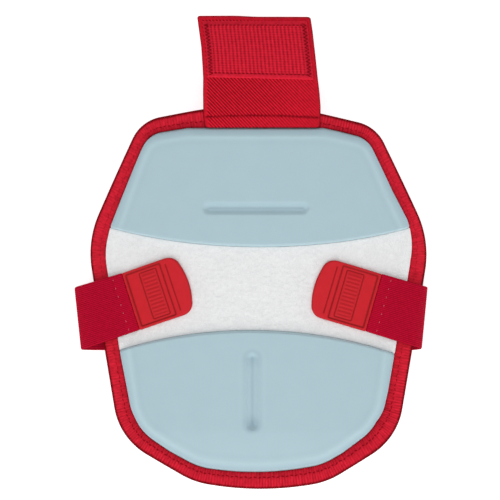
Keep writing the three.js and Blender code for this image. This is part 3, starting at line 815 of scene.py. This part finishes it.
STITCH_COUNT = 256
STITCH_SHARE = 0.6
STITCH_LIFT = 0.25
THREAD_DARK = dyed(130, 2, 16)
THREAD_LIGHT = dyed(164, 10, 30)
binding_tape = new_finish("red_binding_tape", webbing_pattern(BINDING_SHADE, BINDING_RED))
dark_thread = new_finish("dark_red_thread", thread_pattern(THREAD_DARK, THREAD_LIGHT))
bound_edge = sewn_piece("bound_edge", *binding_mesh(), binding_tape)
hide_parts("edge_binding")
inner_line, outer_line = (tape_line_at(TAPE_SEAM + sway, STITCH_COUNT) for sway in (SEAM_SWAY, -SEAM_SWAY))
seam_line = np.where((np.arange(STITCH_COUNT) % 2)[:, None], inner_line, outer_line)
seam_line = np.vstack([seam_line, seam_line[:1]])
seam_points = wrap(*seam_line.T, TAPE_HIGH - TAPE_SEAM_DIP + STITCH_LIFT)
middle, along, across, up = stitch_row(seam_points, STITCH_SHARE, shin_normal(seam_points))
plump = 0.25 + 0.75 * seam_shows(middle[:, 1:2])
bound_edge_stitches = strewn_piece("bound_edge_stitches", stitch_form(radius=0.36, sink=0.25),
                                   (middle, along, across * plump, up * plump), dark_thread)

# Top flap: a wide strap of red twill elastic that closes over the wearer's shin. Its lower end is
# turned under and sewn over the brow, with a soft lip below that seam, and its free end droops.
FLAP_END = 150.6
FLAP_END_FALL = 0.7
FLAP_END_FALL_FROM = 0.3
FLAP_END_FALL_OVER = 0.26
FLAP_CORNER = 1.6
HEM_CORNER = 2.2
FLAP_HINGE = 91.6
FLAP_SEAM = 86.7
FLAP_SEAM_LEFT = 85.9
FLAP_SEAM_CLIMB = 4.6
FLAP_SEAM_FALL = 5.1
FLAP_CREASE = 0.8
FLAP_CREASE_FADE = 2
FLAP_WIDTH = 73
FLAP_EDGE_THICK = 0.5
FLAP_SIDE_ROUND = 1.0
FLAP_END_ROUND = 1.6
FLAP_HEM_LIP = 0.4
FLAP_END_LIP = 0.2
FLAP_DROOP = 13
FLAP_FLATTEN = 0.5
FLAP_SEAT = 4.5
FLAP_ROWS = 180
FLAP_COLUMNS = 188
TWILL_PITCH = 2.17
TWILL_SLOPE = 0.95
TWILL_HEIGHT = 0.2
SELVEDGE = 2.2
SELVEDGE_FADE = 1.2
END_SELVEDGE = 2.4
END_SELVEDGE_FADE = 0.8
BACK_TWILL_HEIGHT = 0.06
FLAP_STITCHES = 30
FLAP_STITCH_SHARE = 0.7
FLAP_STITCH_MARGIN = 0.02
FLAP_STITCH_LIFT = 1.9
FLAP_SHADE = dyed(58, 0, 2)
FLAP_RED = dyed(247, 33, 56)
flap_y, flap_left, flap_right, flap_thick = np.array([
    (HEM_LOW, -33.7, 39.4, 3),
    (85.9, -34.6, 39.7, 3),
    (87.5, -34.7, 39.7, 2.2),
    (93, -34.8, 39.7, 2.2),
    (101, -34.9, 39.1, 1.6),
    (111, -34.8, 37.9, 1.6),
    (121, -35.4, 36.9, 1.6),
    (131, -36.1, 35.8, 1.6),
    (141, -37.5, 34.7, 1.6),
    (FLAP_END, -38.8, 33.3, 1.6),
]).T


def flap_end(share):
    """How far up the flap its free end lies, which is cut a little lower on the right."""
    fall = ramp(share, FLAP_END_FALL_FROM, FLAP_END_FALL_FROM + FLAP_END_FALL_OVER)
    return FLAP_END - FLAP_END_FALL * fall ** 2 * (3 - 2 * fall)


def flap_point(share, along, lift):
    """A point on the flap, which follows the guard at its hem and droops past the brow."""
    into_corner = np.clip(along - flap_end(share) + FLAP_CORNER, 0, FLAP_CORNER)
    into_hem = np.clip(HEM_LOW + HEM_CORNER - along, 0, HEM_CORNER)
    corner = (FLAP_CORNER - np.sqrt(FLAP_CORNER ** 2 - into_corner ** 2)
              + HEM_CORNER - np.sqrt(HEM_CORNER ** 2 - into_hem ** 2))
    left = np.interp(along, flap_y, flap_left) + corner
    right = np.interp(along, flap_y, flap_right) - corner
    x = left + share * (right - left)
    past = np.maximum(0, (along - FLAP_HINGE) / (FLAP_END - FLAP_HINGE))
    seat = wrap(unrolled(x, FLAP_SEAT), along, FLAP_SEAT)[..., 2]
    flattened = seat + (CROWN_HEIGHT + FLAP_SEAT - seat) * past * FLAP_FLATTEN
    height = flattened - FLAP_DROOP * past ** 2 + lift
    return np.stack(np.broadcast_arrays(x, along, height), axis=-1) + DRAWING_SHIFT * (1, 1, 0)


def flap_seam(share):
    """How far up the flap its hem seam runs, from its left selvedge to its right one."""
    return FLAP_SEAM_LEFT + FLAP_SEAM_CLIMB * share - FLAP_SEAM_FALL * share ** 2


def flap_mesh():
    """Twill ridges lean across the flap. They fade towards the right and below the hem seam."""
    share = np.linspace(0, 1, FLAP_COLUMNS)[None, :]
    end = flap_end(share)
    seam = flap_seam(share)
    along = HEM_LOW + np.linspace(0, 1, FLAP_ROWS)[:, None] * (end - HEM_LOW)
    x = flap_point(share, along, 0)[..., 0]
    from_side = np.minimum(share, 1 - share) * FLAP_WIDTH
    from_end = np.minimum(along - HEM_LOW + FLAP_HEM_LIP, end - along + FLAP_END_LIP)
    rounded = roll_over(from_side, FLAP_SIDE_ROUND) * roll_over(from_end, FLAP_END_ROUND)
    crease = soft_band(along, seam, FLAP_CREASE, 1) * ramp(from_side, 0, FLAP_CREASE_FADE)
    crease = crease * (0.8 + 0.2 * np.cos(math.tau * FLAP_STITCHES * share))
    weave = (ramp(from_side, SELVEDGE, SELVEDGE + SELVEDGE_FADE)
             * ramp(end - along, END_SELVEDGE, END_SELVEDGE + END_SELVEDGE_FADE))
    weave = weave * (1.3 - 1.1 * share) * (1 - 0.4 * (along < seam)) * (1 - crease)
    twill = weave * np.cos(math.tau * (x + TWILL_SLOPE * along) / TWILL_PITCH)
    thick = np.interp(along + FLAP_SEAM - seam, flap_y, flap_thick) - FLAP_CREASE * crease
    lift = FLAP_EDGE_THICK + (thick - FLAP_EDGE_THICK) * rounded + TWILL_HEIGHT * twill
    # Painted shade in the twill's valleys with painted light on its ridges, in the hem crease and round
    # the rounded edges; a little darker towards the right.
    painted_shade_and_tone = 0.33 + 0.06 * share - 1.05 * twill + 0.35 * crease + 0.8 * (1 - rounded)
    cloth = np.stack(np.broadcast_arrays(x, along), axis=-1)
    back = flap_point(share, along, BACK_TWILL_HEIGHT * (1 + twill))
    return flap_point(share, along, lift), back, cloth, np.clip(painted_shade_and_tone, 0, 1)


def flap_seam_places():
    share = np.linspace(FLAP_STITCH_MARGIN, 1 - FLAP_STITCH_MARGIN, FLAP_STITCHES)
    line = flap_point(share, flap_seam(share), FLAP_STITCH_LIFT)
    return stitch_row(line, FLAP_STITCH_SHARE, upward(line))


strap_twill = new_finish("red_twill_elastic", webbing_pattern(FLAP_SHADE, FLAP_RED))
top_flap = sheet_piece("top_flap", *flap_mesh(), strap_twill)
top_flap_stitches = strewn_piece("top_flap_stitches", stitch_form(radius=0.25, sink=0.3),
                                 flap_seam_places(), dark_thread)
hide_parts("top_strap")

# Hook tape: a rectangle of red hook tape sewn on the flap's free end, which grips the strap's own back
# when the flap is closed. Ribs run along it, each with a row of small hooks, and it is sewn all round.
HOOK_LOW_LEFT = 111.1
HOOK_LOW_FALL = 1.6
HOOK_HIGH = 147
HOOK_MARGIN = 0.04
HOOK_SEAT = 1.9
HOOK_BASE = 0.75
HOOK_RIBS = 27
HOOK_RIB_HEIGHT = 0.14
HOOK_TAPE_ROWS = 92
HOOK_TAPE_COLUMNS = 164
HOOK_SPANS = (36, 67)
HOOK_EDGE_THICK = 0.25
HOOK_EDGE_ROUND = 0.8
HOOK_SIDE_BORDER = (0.055, 0.065)
HOOK_END_BORDER = (0.07, 0.09)
HOOK_LOW_EDGE_HIGHLIGHT = (0.07, 0.04)
HOOK_STEM = 0.42
HOOK_BEND = 0.2
HOOK_THREAD = 0.11
HOOK_ROOT = 0.1
HOOK_SINK = 0.05
HOOK_FIELD = (0.1, 0.9)
HOOK_BARE_RIBS = 2
HOOK_STITCHES = 26
HOOK_STITCH_LIFT = 0.05
HOOK_STITCH_ROWS = (0.93, 0.08)
HOOK_STITCH_ENDS = (0.03, 0.97)
HOOK_ZIGZAGS = 32
HOOK_ZIGZAG = (0.052, 0.012)
HOOK_ZIGZAG_ENDS = (0.04, 0.96)
HOOK_ZIGZAG_SHARE = 0.95
HOOK_ZIGZAG_PLUMP = 0.65
HOOK_SHADE = dyed(104, 0, 8)
HOOK_RED = dyed(249, 43, 67)
HOOK_ROW_PITCH = 1.53
HOOK_THREAD_DARK = dyed(206, 24, 44)
HOOK_THREAD_LIGHT = dyed(236, 50, 68)
HOOK_STITCH_DARK = dyed(112, 0, 12)
HOOK_STITCH_LIGHT = dyed(142, 4, 22)


def hook_point(share, up_share, lift):
    """A point on the hook tape, by its shares of the tape's width and height."""
    low = HOOK_LOW_LEFT - HOOK_LOW_FALL * share
    along = low + up_share * (HOOK_HIGH - low)
    return flap_point(HOOK_MARGIN + share * (1 - 2 * HOOK_MARGIN), along, HOOK_SEAT + lift)


def hook_tape_mesh():
    """Ribs run up inside a plain border, with a painted highlight along the tape's lower edge."""
    share = np.linspace(0, 1, HOOK_TAPE_COLUMNS)[None, :]
    up_share = np.linspace(0, 1, HOOK_TAPE_ROWS)[:, None]
    edge = rounded_share(HOOK_TAPE_ROWS, HOOK_TAPE_COLUMNS, HOOK_SPANS, HOOK_EDGE_ROUND)
    inner = (ramp(np.minimum(share, 1 - share), *HOOK_SIDE_BORDER)
             * ramp(np.minimum(up_share, 1 - up_share), *HOOK_END_BORDER))
    rib = np.cos(math.tau * (share * HOOK_RIBS - 0.5)) * inner
    row = np.cos(math.tau * HOOK_SPANS[0] * up_share / HOOK_ROW_PITCH) * inner
    tuft = mottled(HOOK_TAPE_ROWS, HOOK_TAPE_COLUMNS, cell=2, seed=31)
    lift = HOOK_EDGE_THICK + (HOOK_BASE - HOOK_EDGE_THICK - HOOK_RIB_HEIGHT * (1 - rib)) * edge
    # Painted shade between the ribs with painted light on them, and painted highlights on the rounded edge
    # and along the lower edge.
    painted_shade_and_tone = (0.34 - 0.3 * rib + 0.15 * row + 0.1 * tuft + 0.1 * (1 - inner) - 0.2 * (1 - edge)
              - 0.2 * ramp(up_share, *HOOK_LOW_EDGE_HIGHLIGHT))
    front = hook_point(share, up_share, lift)
    return front, hook_point(share, up_share, 0 * edge), front[..., :2].copy(), np.clip(painted_shade_and_tone, 0, 1)


def hook_form():
    """A stem that stands up and bends over in an open hook."""
    turn = np.linspace(0, 0.75 * np.pi, 5)
    bend = np.stack([HOOK_BEND * (1 - np.cos(turn)), HOOK_STEM + HOOK_BEND * np.sin(turn)], axis=1)
    return thread_form(np.vstack([[(0, -HOOK_ROOT)], bend]), HOOK_THREAD)


def hook_places():
    """A hook at each crossing of rib and row. Every second one faces the other way."""
    rib = (np.arange(HOOK_BARE_RIBS, HOOK_RIBS - HOOK_BARE_RIBS) + 0.5) / HOOK_RIBS
    row = np.arange(*HOOK_FIELD, HOOK_ROW_PITCH / HOOK_SPANS[0])
    share, up_share = (grid.ravel() for grid in np.meshgrid(rib, row))
    origin = hook_point(share, up_share, HOOK_BASE - HOOK_SINK)
    facing = np.where(np.arange(len(origin)) % 2, 1.0, -1.0)[:, None]
    along = direction(hook_point(share + 0.01, up_share, HOOK_BASE) - origin) * facing
    across = direction(hook_point(share, up_share + 0.01, HOOK_BASE) - origin) * facing
    return origin, along, across, np.cross(along, across)


def hook_stitch_places():
    """A straight row along the top and the bottom, and a zigzag up each side."""
    lift = HOOK_BASE + HOOK_STITCH_LIFT
    rows = []
    for up_share in HOOK_STITCH_ROWS:
        line = hook_point(np.linspace(*HOOK_STITCH_ENDS, HOOK_STITCHES), up_share, lift)
        rows.append(stitch_row(line, STITCH_SHARE, upward(line)))
    zigzag = np.where(np.arange(HOOK_ZIGZAGS) % 2, *HOOK_ZIGZAG)
    for share in (zigzag, 1 - zigzag):
        line = hook_point(share, np.linspace(*HOOK_ZIGZAG_ENDS, HOOK_ZIGZAGS), lift)
        middle, along, across, up = stitch_row(line, HOOK_ZIGZAG_SHARE, upward(line))
        rows.append((middle, along, across * HOOK_ZIGZAG_PLUMP, up * HOOK_ZIGZAG_PLUMP))
    return [np.concatenate(part) for part in zip(*rows)]


hook_finish = new_finish("red_hook_tape", webbing_pattern(HOOK_SHADE, HOOK_RED))
hook_thread = new_finish("red_hook_thread", thread_pattern(HOOK_THREAD_DARK, HOOK_THREAD_LIGHT))
hook_stitch_thread = new_finish("deep_red_thread", thread_pattern(HOOK_STITCH_DARK, HOOK_STITCH_LIGHT))
hook_tape = sheet_piece("hook_tape", *hook_tape_mesh(), hook_finish)
hook_rows = strewn_piece("hook_rows", hook_form(), hook_places(), hook_thread)
hook_tape_stitches = strewn_piece("hook_tape_stitches", stitch_form(radius=0.28, sink=0.2),
                                  hook_stitch_places(), hook_stitch_thread)
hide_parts("hook_patch")

# Calf elastic: one crimson band of corded elastic that runs behind the calf from tab to tab. On each
# side it comes round the guard's edge in a soft fold, lies over the tape and is sewn to its tab.
TAB_LOW = 5.1
TAB_TOP = 7.5
TAB_HALF_WIDTH = 19
LEFT_TAB = (-80.1, -31.2, math.radians(18.6))
RIGHT_TAB = (72.8, -31.9, math.radians(163.5))
BAND_DEPTH = 7.1
BAND_HALF_THICK = 0.8
BAND_BACK_UPPER = -24.4
BAND_BACK_LOWER = -62.5
BAND_TUCK = 6.5
BAND_HANDLE = 6
BAND_CORDS = 33
BAND_COLUMNS = 133
BAND_PAD_ROWS = 20
BAND_FOLD_STEPS = 36
BAND_LIFT_STEPS = 13
BAND_EDGE_HALF_THICK = 0.25
BAND_EDGE_ROUND = 0.9
BAND_PALE_REACH = (8.5, 7)
CORD_RELIEF = 0.16
BAND_SHADE = dyed(124, 0, 16)
BAND_RED = dyed(213, 17, 58)


def band_edge(tab, across, back_y, lift_x, bend_x, fold_x, fold_y):
    """One edge of the band, from its seam with a tab, over the guard's side and down to the floor.
    It lifts off the guard at lift_x, starts to fold at bend_x and reaches out to fold_x."""
    tab_x, tab_y, turn = tab
    seam_x = abs(unrolled(tab_x, TAB_LOW) - across * math.sin(turn) - GAP * math.cos(turn))
    seam_y = tab_y + across * math.cos(turn)
    lift_across = unrolled(lift_x, BAND_DEPTH)
    on_guard = wrap(np.linspace(seam_x, lift_across, BAND_PAD_ROWS), 0, BAND_DEPTH) - DRAWING_SHIFT
    slope = lift_across / SHIN_RADIUS
    heading = np.array([math.cos(slope), 0, -math.sin(slope)])
    bend_start = on_guard[-1] + heading * (bend_x - lift_x) / heading[0]
    ground = np.array([fold_x - BAND_TUCK, 0, BAND_HALF_THICK])
    handle = bend_start + heading * BAND_HANDLE
    reach = fold_x - BAND_HALF_THICK
    turn_x = (8 * reach - bend_start[0] - 3 * handle[0] - ground[0]) / 3
    turn_point = np.array([turn_x, 0, BAND_HALF_THICK])
    t = np.linspace(0, 1, BAND_FOLD_STEPS + 1)[:, None]
    fold = ((1 - t) ** 3 * bend_start + 3 * (1 - t) ** 2 * t * handle
            + 3 * (1 - t) * t ** 2 * turn_point + t ** 3 * ground)
    lifted = on_guard[:0]
    if bend_x > lift_x:
        lifted = np.linspace(on_guard[-1], bend_start, BAND_LIFT_STEPS)[1:]
    line = np.vstack([on_guard, lifted, fold[1:]])
    half_fold = BAND_FOLD_STEPS // 2
    under = np.arange(len(line)) - (len(line) - 1 - half_fold)
    before_fold = seam_y + (fold_y - seam_y) * (line[:, 0] - line[0, 0]) / (reach - line[0, 0])
    after_fold = fold_y + (back_y - fold_y) * under / half_fold
    line[:, 1] = np.where(under < 0, before_fold, after_fold)
    line[:, 0] *= np.sign(tab_x)
    return line


def band_edges():
    """The band's lower and upper edges, from the left tab round behind the calf to the right tab."""
    half = TAB_HALF_WIDTH
    left_upper = band_edge(LEFT_TAB, half, BAND_BACK_UPPER,
                           lift_x=90, bend_x=108, fold_x=116.8, fold_y=-21.9)
    left_lower = band_edge(LEFT_TAB, -half, BAND_BACK_LOWER,
                           lift_x=80, bend_x=103, fold_x=112.4, fold_y=-61.9)
    right_upper = band_edge(RIGHT_TAB, -half, BAND_BACK_UPPER,
                            lift_x=103, bend_x=103, fold_x=108.6, fold_y=-21.9)[::-1]
    right_lower = band_edge(RIGHT_TAB, half, BAND_BACK_LOWER,
                            lift_x=97.5, bend_x=97.5, fold_x=104.6, fold_y=-61.3)[::-1]
    edges = []
    for left, right in ((left_lower, right_lower), (left_upper, right_upper)):
        behind = np.linspace(left[-1], right[0], BAND_PAD_ROWS)[1:-1]
        edges.append(np.vstack([left, behind, right]))
    return edges


def band_mesh():
    """Cords run along the band. It is a little paler where a tab's flange lies under it."""
    lower, upper = band_edges()
    share = np.linspace(0, 1, BAND_COLUMNS)[None, :]
    middle = lower[:, None] + share[..., None] * (upper - lower)[:, None] + DRAWING_SHIFT
    along = np.gradient(lower + upper, axis=0)
    out = direction(np.cross(upper - lower, along))[:, None]
    travel = travelled((lower + upper) / 2)
    between_cords = 0.5 + 0.5 * np.cos(math.tau * BAND_CORDS * share)
    side = roll_over(np.minimum(share, 1 - share) * 2 * TAB_HALF_WIDTH, BAND_EDGE_ROUND)
    crown = BAND_HALF_THICK - BAND_EDGE_HALF_THICK - CORD_RELIEF * between_cords
    half_thick = (BAND_EDGE_HALF_THICK + crown * side)[..., None]
    cloth = np.stack(np.broadcast_arrays(travel[:, None], share * 2 * TAB_HALF_WIDTH), axis=-1)
    from_tab = np.minimum(travel, travel[-1] - travel)[:, None]
    # Painted shade between the cords and at the band's rounded edges.
    painted_shade_and_tone = 0.1 + 0.8 * between_cords + 0.3 * (1 - side) - 0.06 * ramp(from_tab, *BAND_PALE_REACH)
    return middle + out * half_thick, middle - out * half_thick, cloth, np.clip(painted_shade_and_tone, 0, 1)


band_elastic = new_finish("crimson_corded_elastic", webbing_pattern(BAND_SHADE, BAND_RED))
calf_elastic = sheet_piece("calf_elastic", *band_mesh(), band_elastic)
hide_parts("calf_strap")

# Closure tabs: two grips of soft red rubber moulded flat, with a raised rim and engraved lines. Each is
# sewn to one end of the elastic by a thin flange that lies under it, and presses on the loop field.
TAB_SHOULDER = 35.7
TAB_TIP = 40.5
TAB_CORNER = 8
TAB_TIP_RADIUS = 44
TAB_EDGE_ROUND = 1.0
TAB_FLANGE = 9
TAB_FLANGE_TOP = 6.0
TAB_FLANGE_HALF_WIDTH = 17
TAB_ROWS = 150
TAB_COLUMNS = 190
# Boxes on a tab: left and right end, half width, and corner radius.
POCKET = (2.0, 25.5, 17.1, 0.8)
GRIP_FRAME = (10.8, 22.2, 15.2, 0.8)
POCKET_DEPTH = 0.3
POCKET_SLOPE = 0.4
LINE_DEPTH = 0.35
POCKET_LINE = 0.6
GRIP_LINE = 0.42
GRIP_PITCH = 2.4
GRIP_HEIGHT = 0.3
GRIP_INSET = 1
GRIP_FADE = 0.5
BAR_U = 29
BAR_HALF_LENGTH = 15.1
BAR_LINE = 0.4
TAB_EDGE_DROP = 0.9
FLANGE_STEP = 0.3
SQUARE = 0.01
RUBBER_GRAIN = 0.5
RUBBER_PATCH = 5
RUBBER_SHADE = dyed(140, 0, 2)
RUBBER_RED = dyed(208, 29, 41)


def box_distance(u, v, left, right, half_width, radius):
    """How far points lie outside a box with rounded corners, and less than 0 inside it."""
    over_u = np.abs(u - (left + right) / 2) - (right - left) / 2 + radius
    over_v = np.abs(v) - half_width + radius
    outside = np.hypot(np.maximum(over_u, 0), np.maximum(over_v, 0))
    return outside + np.minimum(np.maximum(over_u, over_v), 0) - radius


def on_tab(tab, u, v):
    """Where a point of a tab's own drawing lies on the guard's flat drawing: across and along."""
    tab_x, tab_y, turn = tab
    across = unrolled(tab_x, TAB_LOW) + u * math.cos(turn) - v * math.sin(turn)
    return across, tab_y + u * math.sin(turn) + v * math.cos(turn)


def tab_mesh(tab):
    """A tab in its own drawing, u from the seam to the tip and v across, laid on the guard."""
    outline = rounded_outline([(0, -TAB_HALF_WIDTH, SQUARE), (TAB_SHOULDER, -TAB_HALF_WIDTH, TAB_CORNER),
                               (TAB_TIP, 0, TAB_TIP_RADIUS), (TAB_SHOULDER, TAB_HALF_WIDTH, TAB_CORNER),
                               (0, TAB_HALF_WIDTH, SQUARE)])
    tip = outline[outline[:, 0] > 2 * SQUARE]
    v = np.linspace(-TAB_HALF_WIDTH, TAB_HALF_WIDTH, TAB_ROWS)[:, None]
    tip_u = np.interp(v, tip[:, 1], tip[:, 0])
    u = -TAB_FLANGE + np.linspace(0, 1, TAB_COLUMNS)[None, :] * (tip_u + TAB_FLANGE)
    on_flange = ramp(-u, 0, FLANGE_STEP)
    cloth = np.stack(np.broadcast_arrays(u, v), axis=-1)
    from_tip = distance_to(tip, cloth.reshape(-1, 2)).reshape(u.shape)
    rim = roll_over(np.minimum(from_tip, TAB_HALF_WIDTH - np.abs(v)), TAB_EDGE_ROUND)
    from_pocket = box_distance(u, v, *POCKET)
    from_frame = box_distance(u, v, *GRIP_FRAME)
    from_bar = np.maximum(np.abs(u - BAR_U), np.abs(v) - BAR_HALF_LENGTH)
    pocket = np.clip(0.5 - from_pocket / POCKET_SLOPE, 0, 1)
    lines = np.clip(soft_band(from_pocket, 0, POCKET_LINE, 1) + soft_band(from_frame, 0, GRIP_LINE, 1)
                    + soft_band(from_bar, 0, BAR_LINE, 1), 0, 1)
    inside = ramp(-from_frame, GRIP_INSET, GRIP_INSET + GRIP_FADE)
    grip = inside * (0.5 + 0.5 * np.cos(math.tau * v / GRIP_PITCH))
    top = (TAB_TOP - TAB_EDGE_DROP * (1 - rim) - POCKET_DEPTH * pocket - LINE_DEPTH * lines
           + GRIP_HEIGHT * grip)
    depth = top + (TAB_FLANGE_TOP - top) * on_flange
    narrowed = v * (1 - (1 - TAB_FLANGE_HALF_WIDTH / TAB_HALF_WIDTH) * on_flange)
    flat = on_tab(tab, u, narrowed)
    # Painted shade in the engraved lines, between the grip ribs and on the tab's rounded edge.
    painted_shade_and_tone = np.clip(lines + 0.4 * inside * (1 - grip) + 0.35 * (1 - rim), 0, 1)
    return wrap(*flat, depth), wrap(*flat, TAB_LOW), cloth, painted_shade_and_tone


def rubber_pattern(cloth):
    grain = cloth.mottle(RUBBER_GRAIN)
    tone = (0.92 + 0.16 * (cloth.mottle(RUBBER_PATCH) - 0.5) + 0.06 * grain
            - 0.9 * cloth.painted_shade_and_tone)
    return tone.between(RUBBER_SHADE, RUBBER_RED), 0.02 * grain


tab_rubber = new_finish("red_soft_rubber", rubber_pattern, roughness=0.6, gloss=0.2)
left_tab = sheet_piece("left_tab", *tab_mesh(LEFT_TAB), tab_rubber)
right_tab = sheet_piece("right_tab", *tab_mesh(RIGHT_TAB), tab_rubber)
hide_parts("tab_left")
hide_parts("tab_right")

# Tab stitches: one row of pale thread on each end of the elastic, which holds the tab's flange under it.
TAB_STITCH_FROM_SEAM = 6.8
TAB_STITCHES = 7
TAB_STITCH_MARGIN = 2.5
TAB_STITCH_HALF = 0.55
PALE_THREAD_DARK = dyed(196, 96, 110)
PALE_THREAD_LIGHT = dyed(214, 124, 136)


def tab_stitch_places(tab):
    last = TAB_HALF_WIDTH - TAB_STITCH_MARGIN
    v = np.linspace(-last, last, TAB_STITCHES)
    starts, ends = (wrap(*on_tab(tab, -TAB_STITCH_FROM_SEAM, v + reach), BAND_DEPTH + BAND_HALF_THICK)
                    for reach in (-TAB_STITCH_HALF, TAB_STITCH_HALF))
    return stitch_places(starts, ends, shin_normal(starts))


pale_thread = new_finish("pale_thread", thread_pattern(PALE_THREAD_DARK, PALE_THREAD_LIGHT), gloss=0.15)
both_tabs = zip(tab_stitch_places(LEFT_TAB), tab_stitch_places(RIGHT_TAB))
tab_stitches = strewn_piece("tab_stitches", stitch_form(radius=0.17, sink=0.15),
                            [np.concatenate(part) for part in both_tabs], pale_thread)

# Floor, light and camera: the guard lies on a white sweep under soft, even studio light that is a
# little stronger from beyond its toe. The camera looks straight down on it from far above.
scene = bpy.context.scene
scene.view_settings.view_transform = "Standard"
FLOOR_HALF = 6
FLOOR_DROP = 0.0002
FLOOR_WHITE = (0.9, 0.9, 0.9, 1)
FLOOR_GLOW = 0.6
WHITE = (1, 1, 1, 1)
STUDIO_LIGHT = 0.5
VIEW_CENTRE = (-0.00068, 0.00163)
VIEW_WIDTH = 0.3175
VIEW_LEVEL = 0.03
LENS = 450
SENSOR = 36


def floor_sweep():
    corners = [(-FLOOR_HALF, -FLOOR_HALF, 0), (FLOOR_HALF, -FLOOR_HALF, 0),
               (FLOOR_HALF, FLOOR_HALF, 0), (-FLOOR_HALF, FLOOR_HALF, 0)]
    mesh = bpy.data.meshes.new("white_sweep")
    mesh.from_pydata(corners, [], [(0, 1, 2, 3)])
    finish = bpy.data.materials.new("white_sweep")
    finish.use_nodes = True
    paper = finish.node_tree.nodes["Principled BSDF"]
    paper.inputs["Base Color"].default_value = FLOOR_WHITE
    paper.inputs["Roughness"].default_value = 0.9
    paper.inputs["Emission Color"].default_value = WHITE
    paper.inputs["Emission Strength"].default_value = FLOOR_GLOW
    mesh.materials.append(finish)
    sweep = bpy.data.objects.new("white_sweep", mesh)
    sweep.location.z = -FLOOR_DROP
    scene.collection.objects.link(sweep)


def soft_box(name, position, size, power):
    """A square light that faces the middle of the guard."""
    lamp = bpy.data.lights.new(name, "AREA")
    lamp.size = size
    lamp.energy = power
    light = bpy.data.objects.new(name, lamp)
    light.location = position
    light.rotation_euler = (-light.location).to_track_quat("-Z", "Y").to_euler()
    light.visible_camera = False
    scene.collection.objects.link(light)


floor_sweep()
scene.world = bpy.data.worlds.new("studio")
scene.world.use_nodes = True
sky = scene.world.node_tree.nodes["Background"]
sky.inputs["Color"].default_value = WHITE
sky.inputs["Strength"].default_value = STUDIO_LIGHT
soft_box("toe_light", position=(0, -1.6, 1.4), size=2.0, power=24)
soft_box("top_light", position=(0, 0.2, 2.2), size=1.5, power=10)

camera_data = bpy.data.cameras.new("overhead")
camera_data.lens = LENS
camera_data.sensor_width = SENSOR
camera_data.clip_end = 50
camera = bpy.data.objects.new("overhead", camera_data)
camera.location = (*VIEW_CENTRE, VIEW_LEVEL + VIEW_WIDTH * LENS / SENSOR)
scene.collection.objects.link(camera)
scene.camera = camera
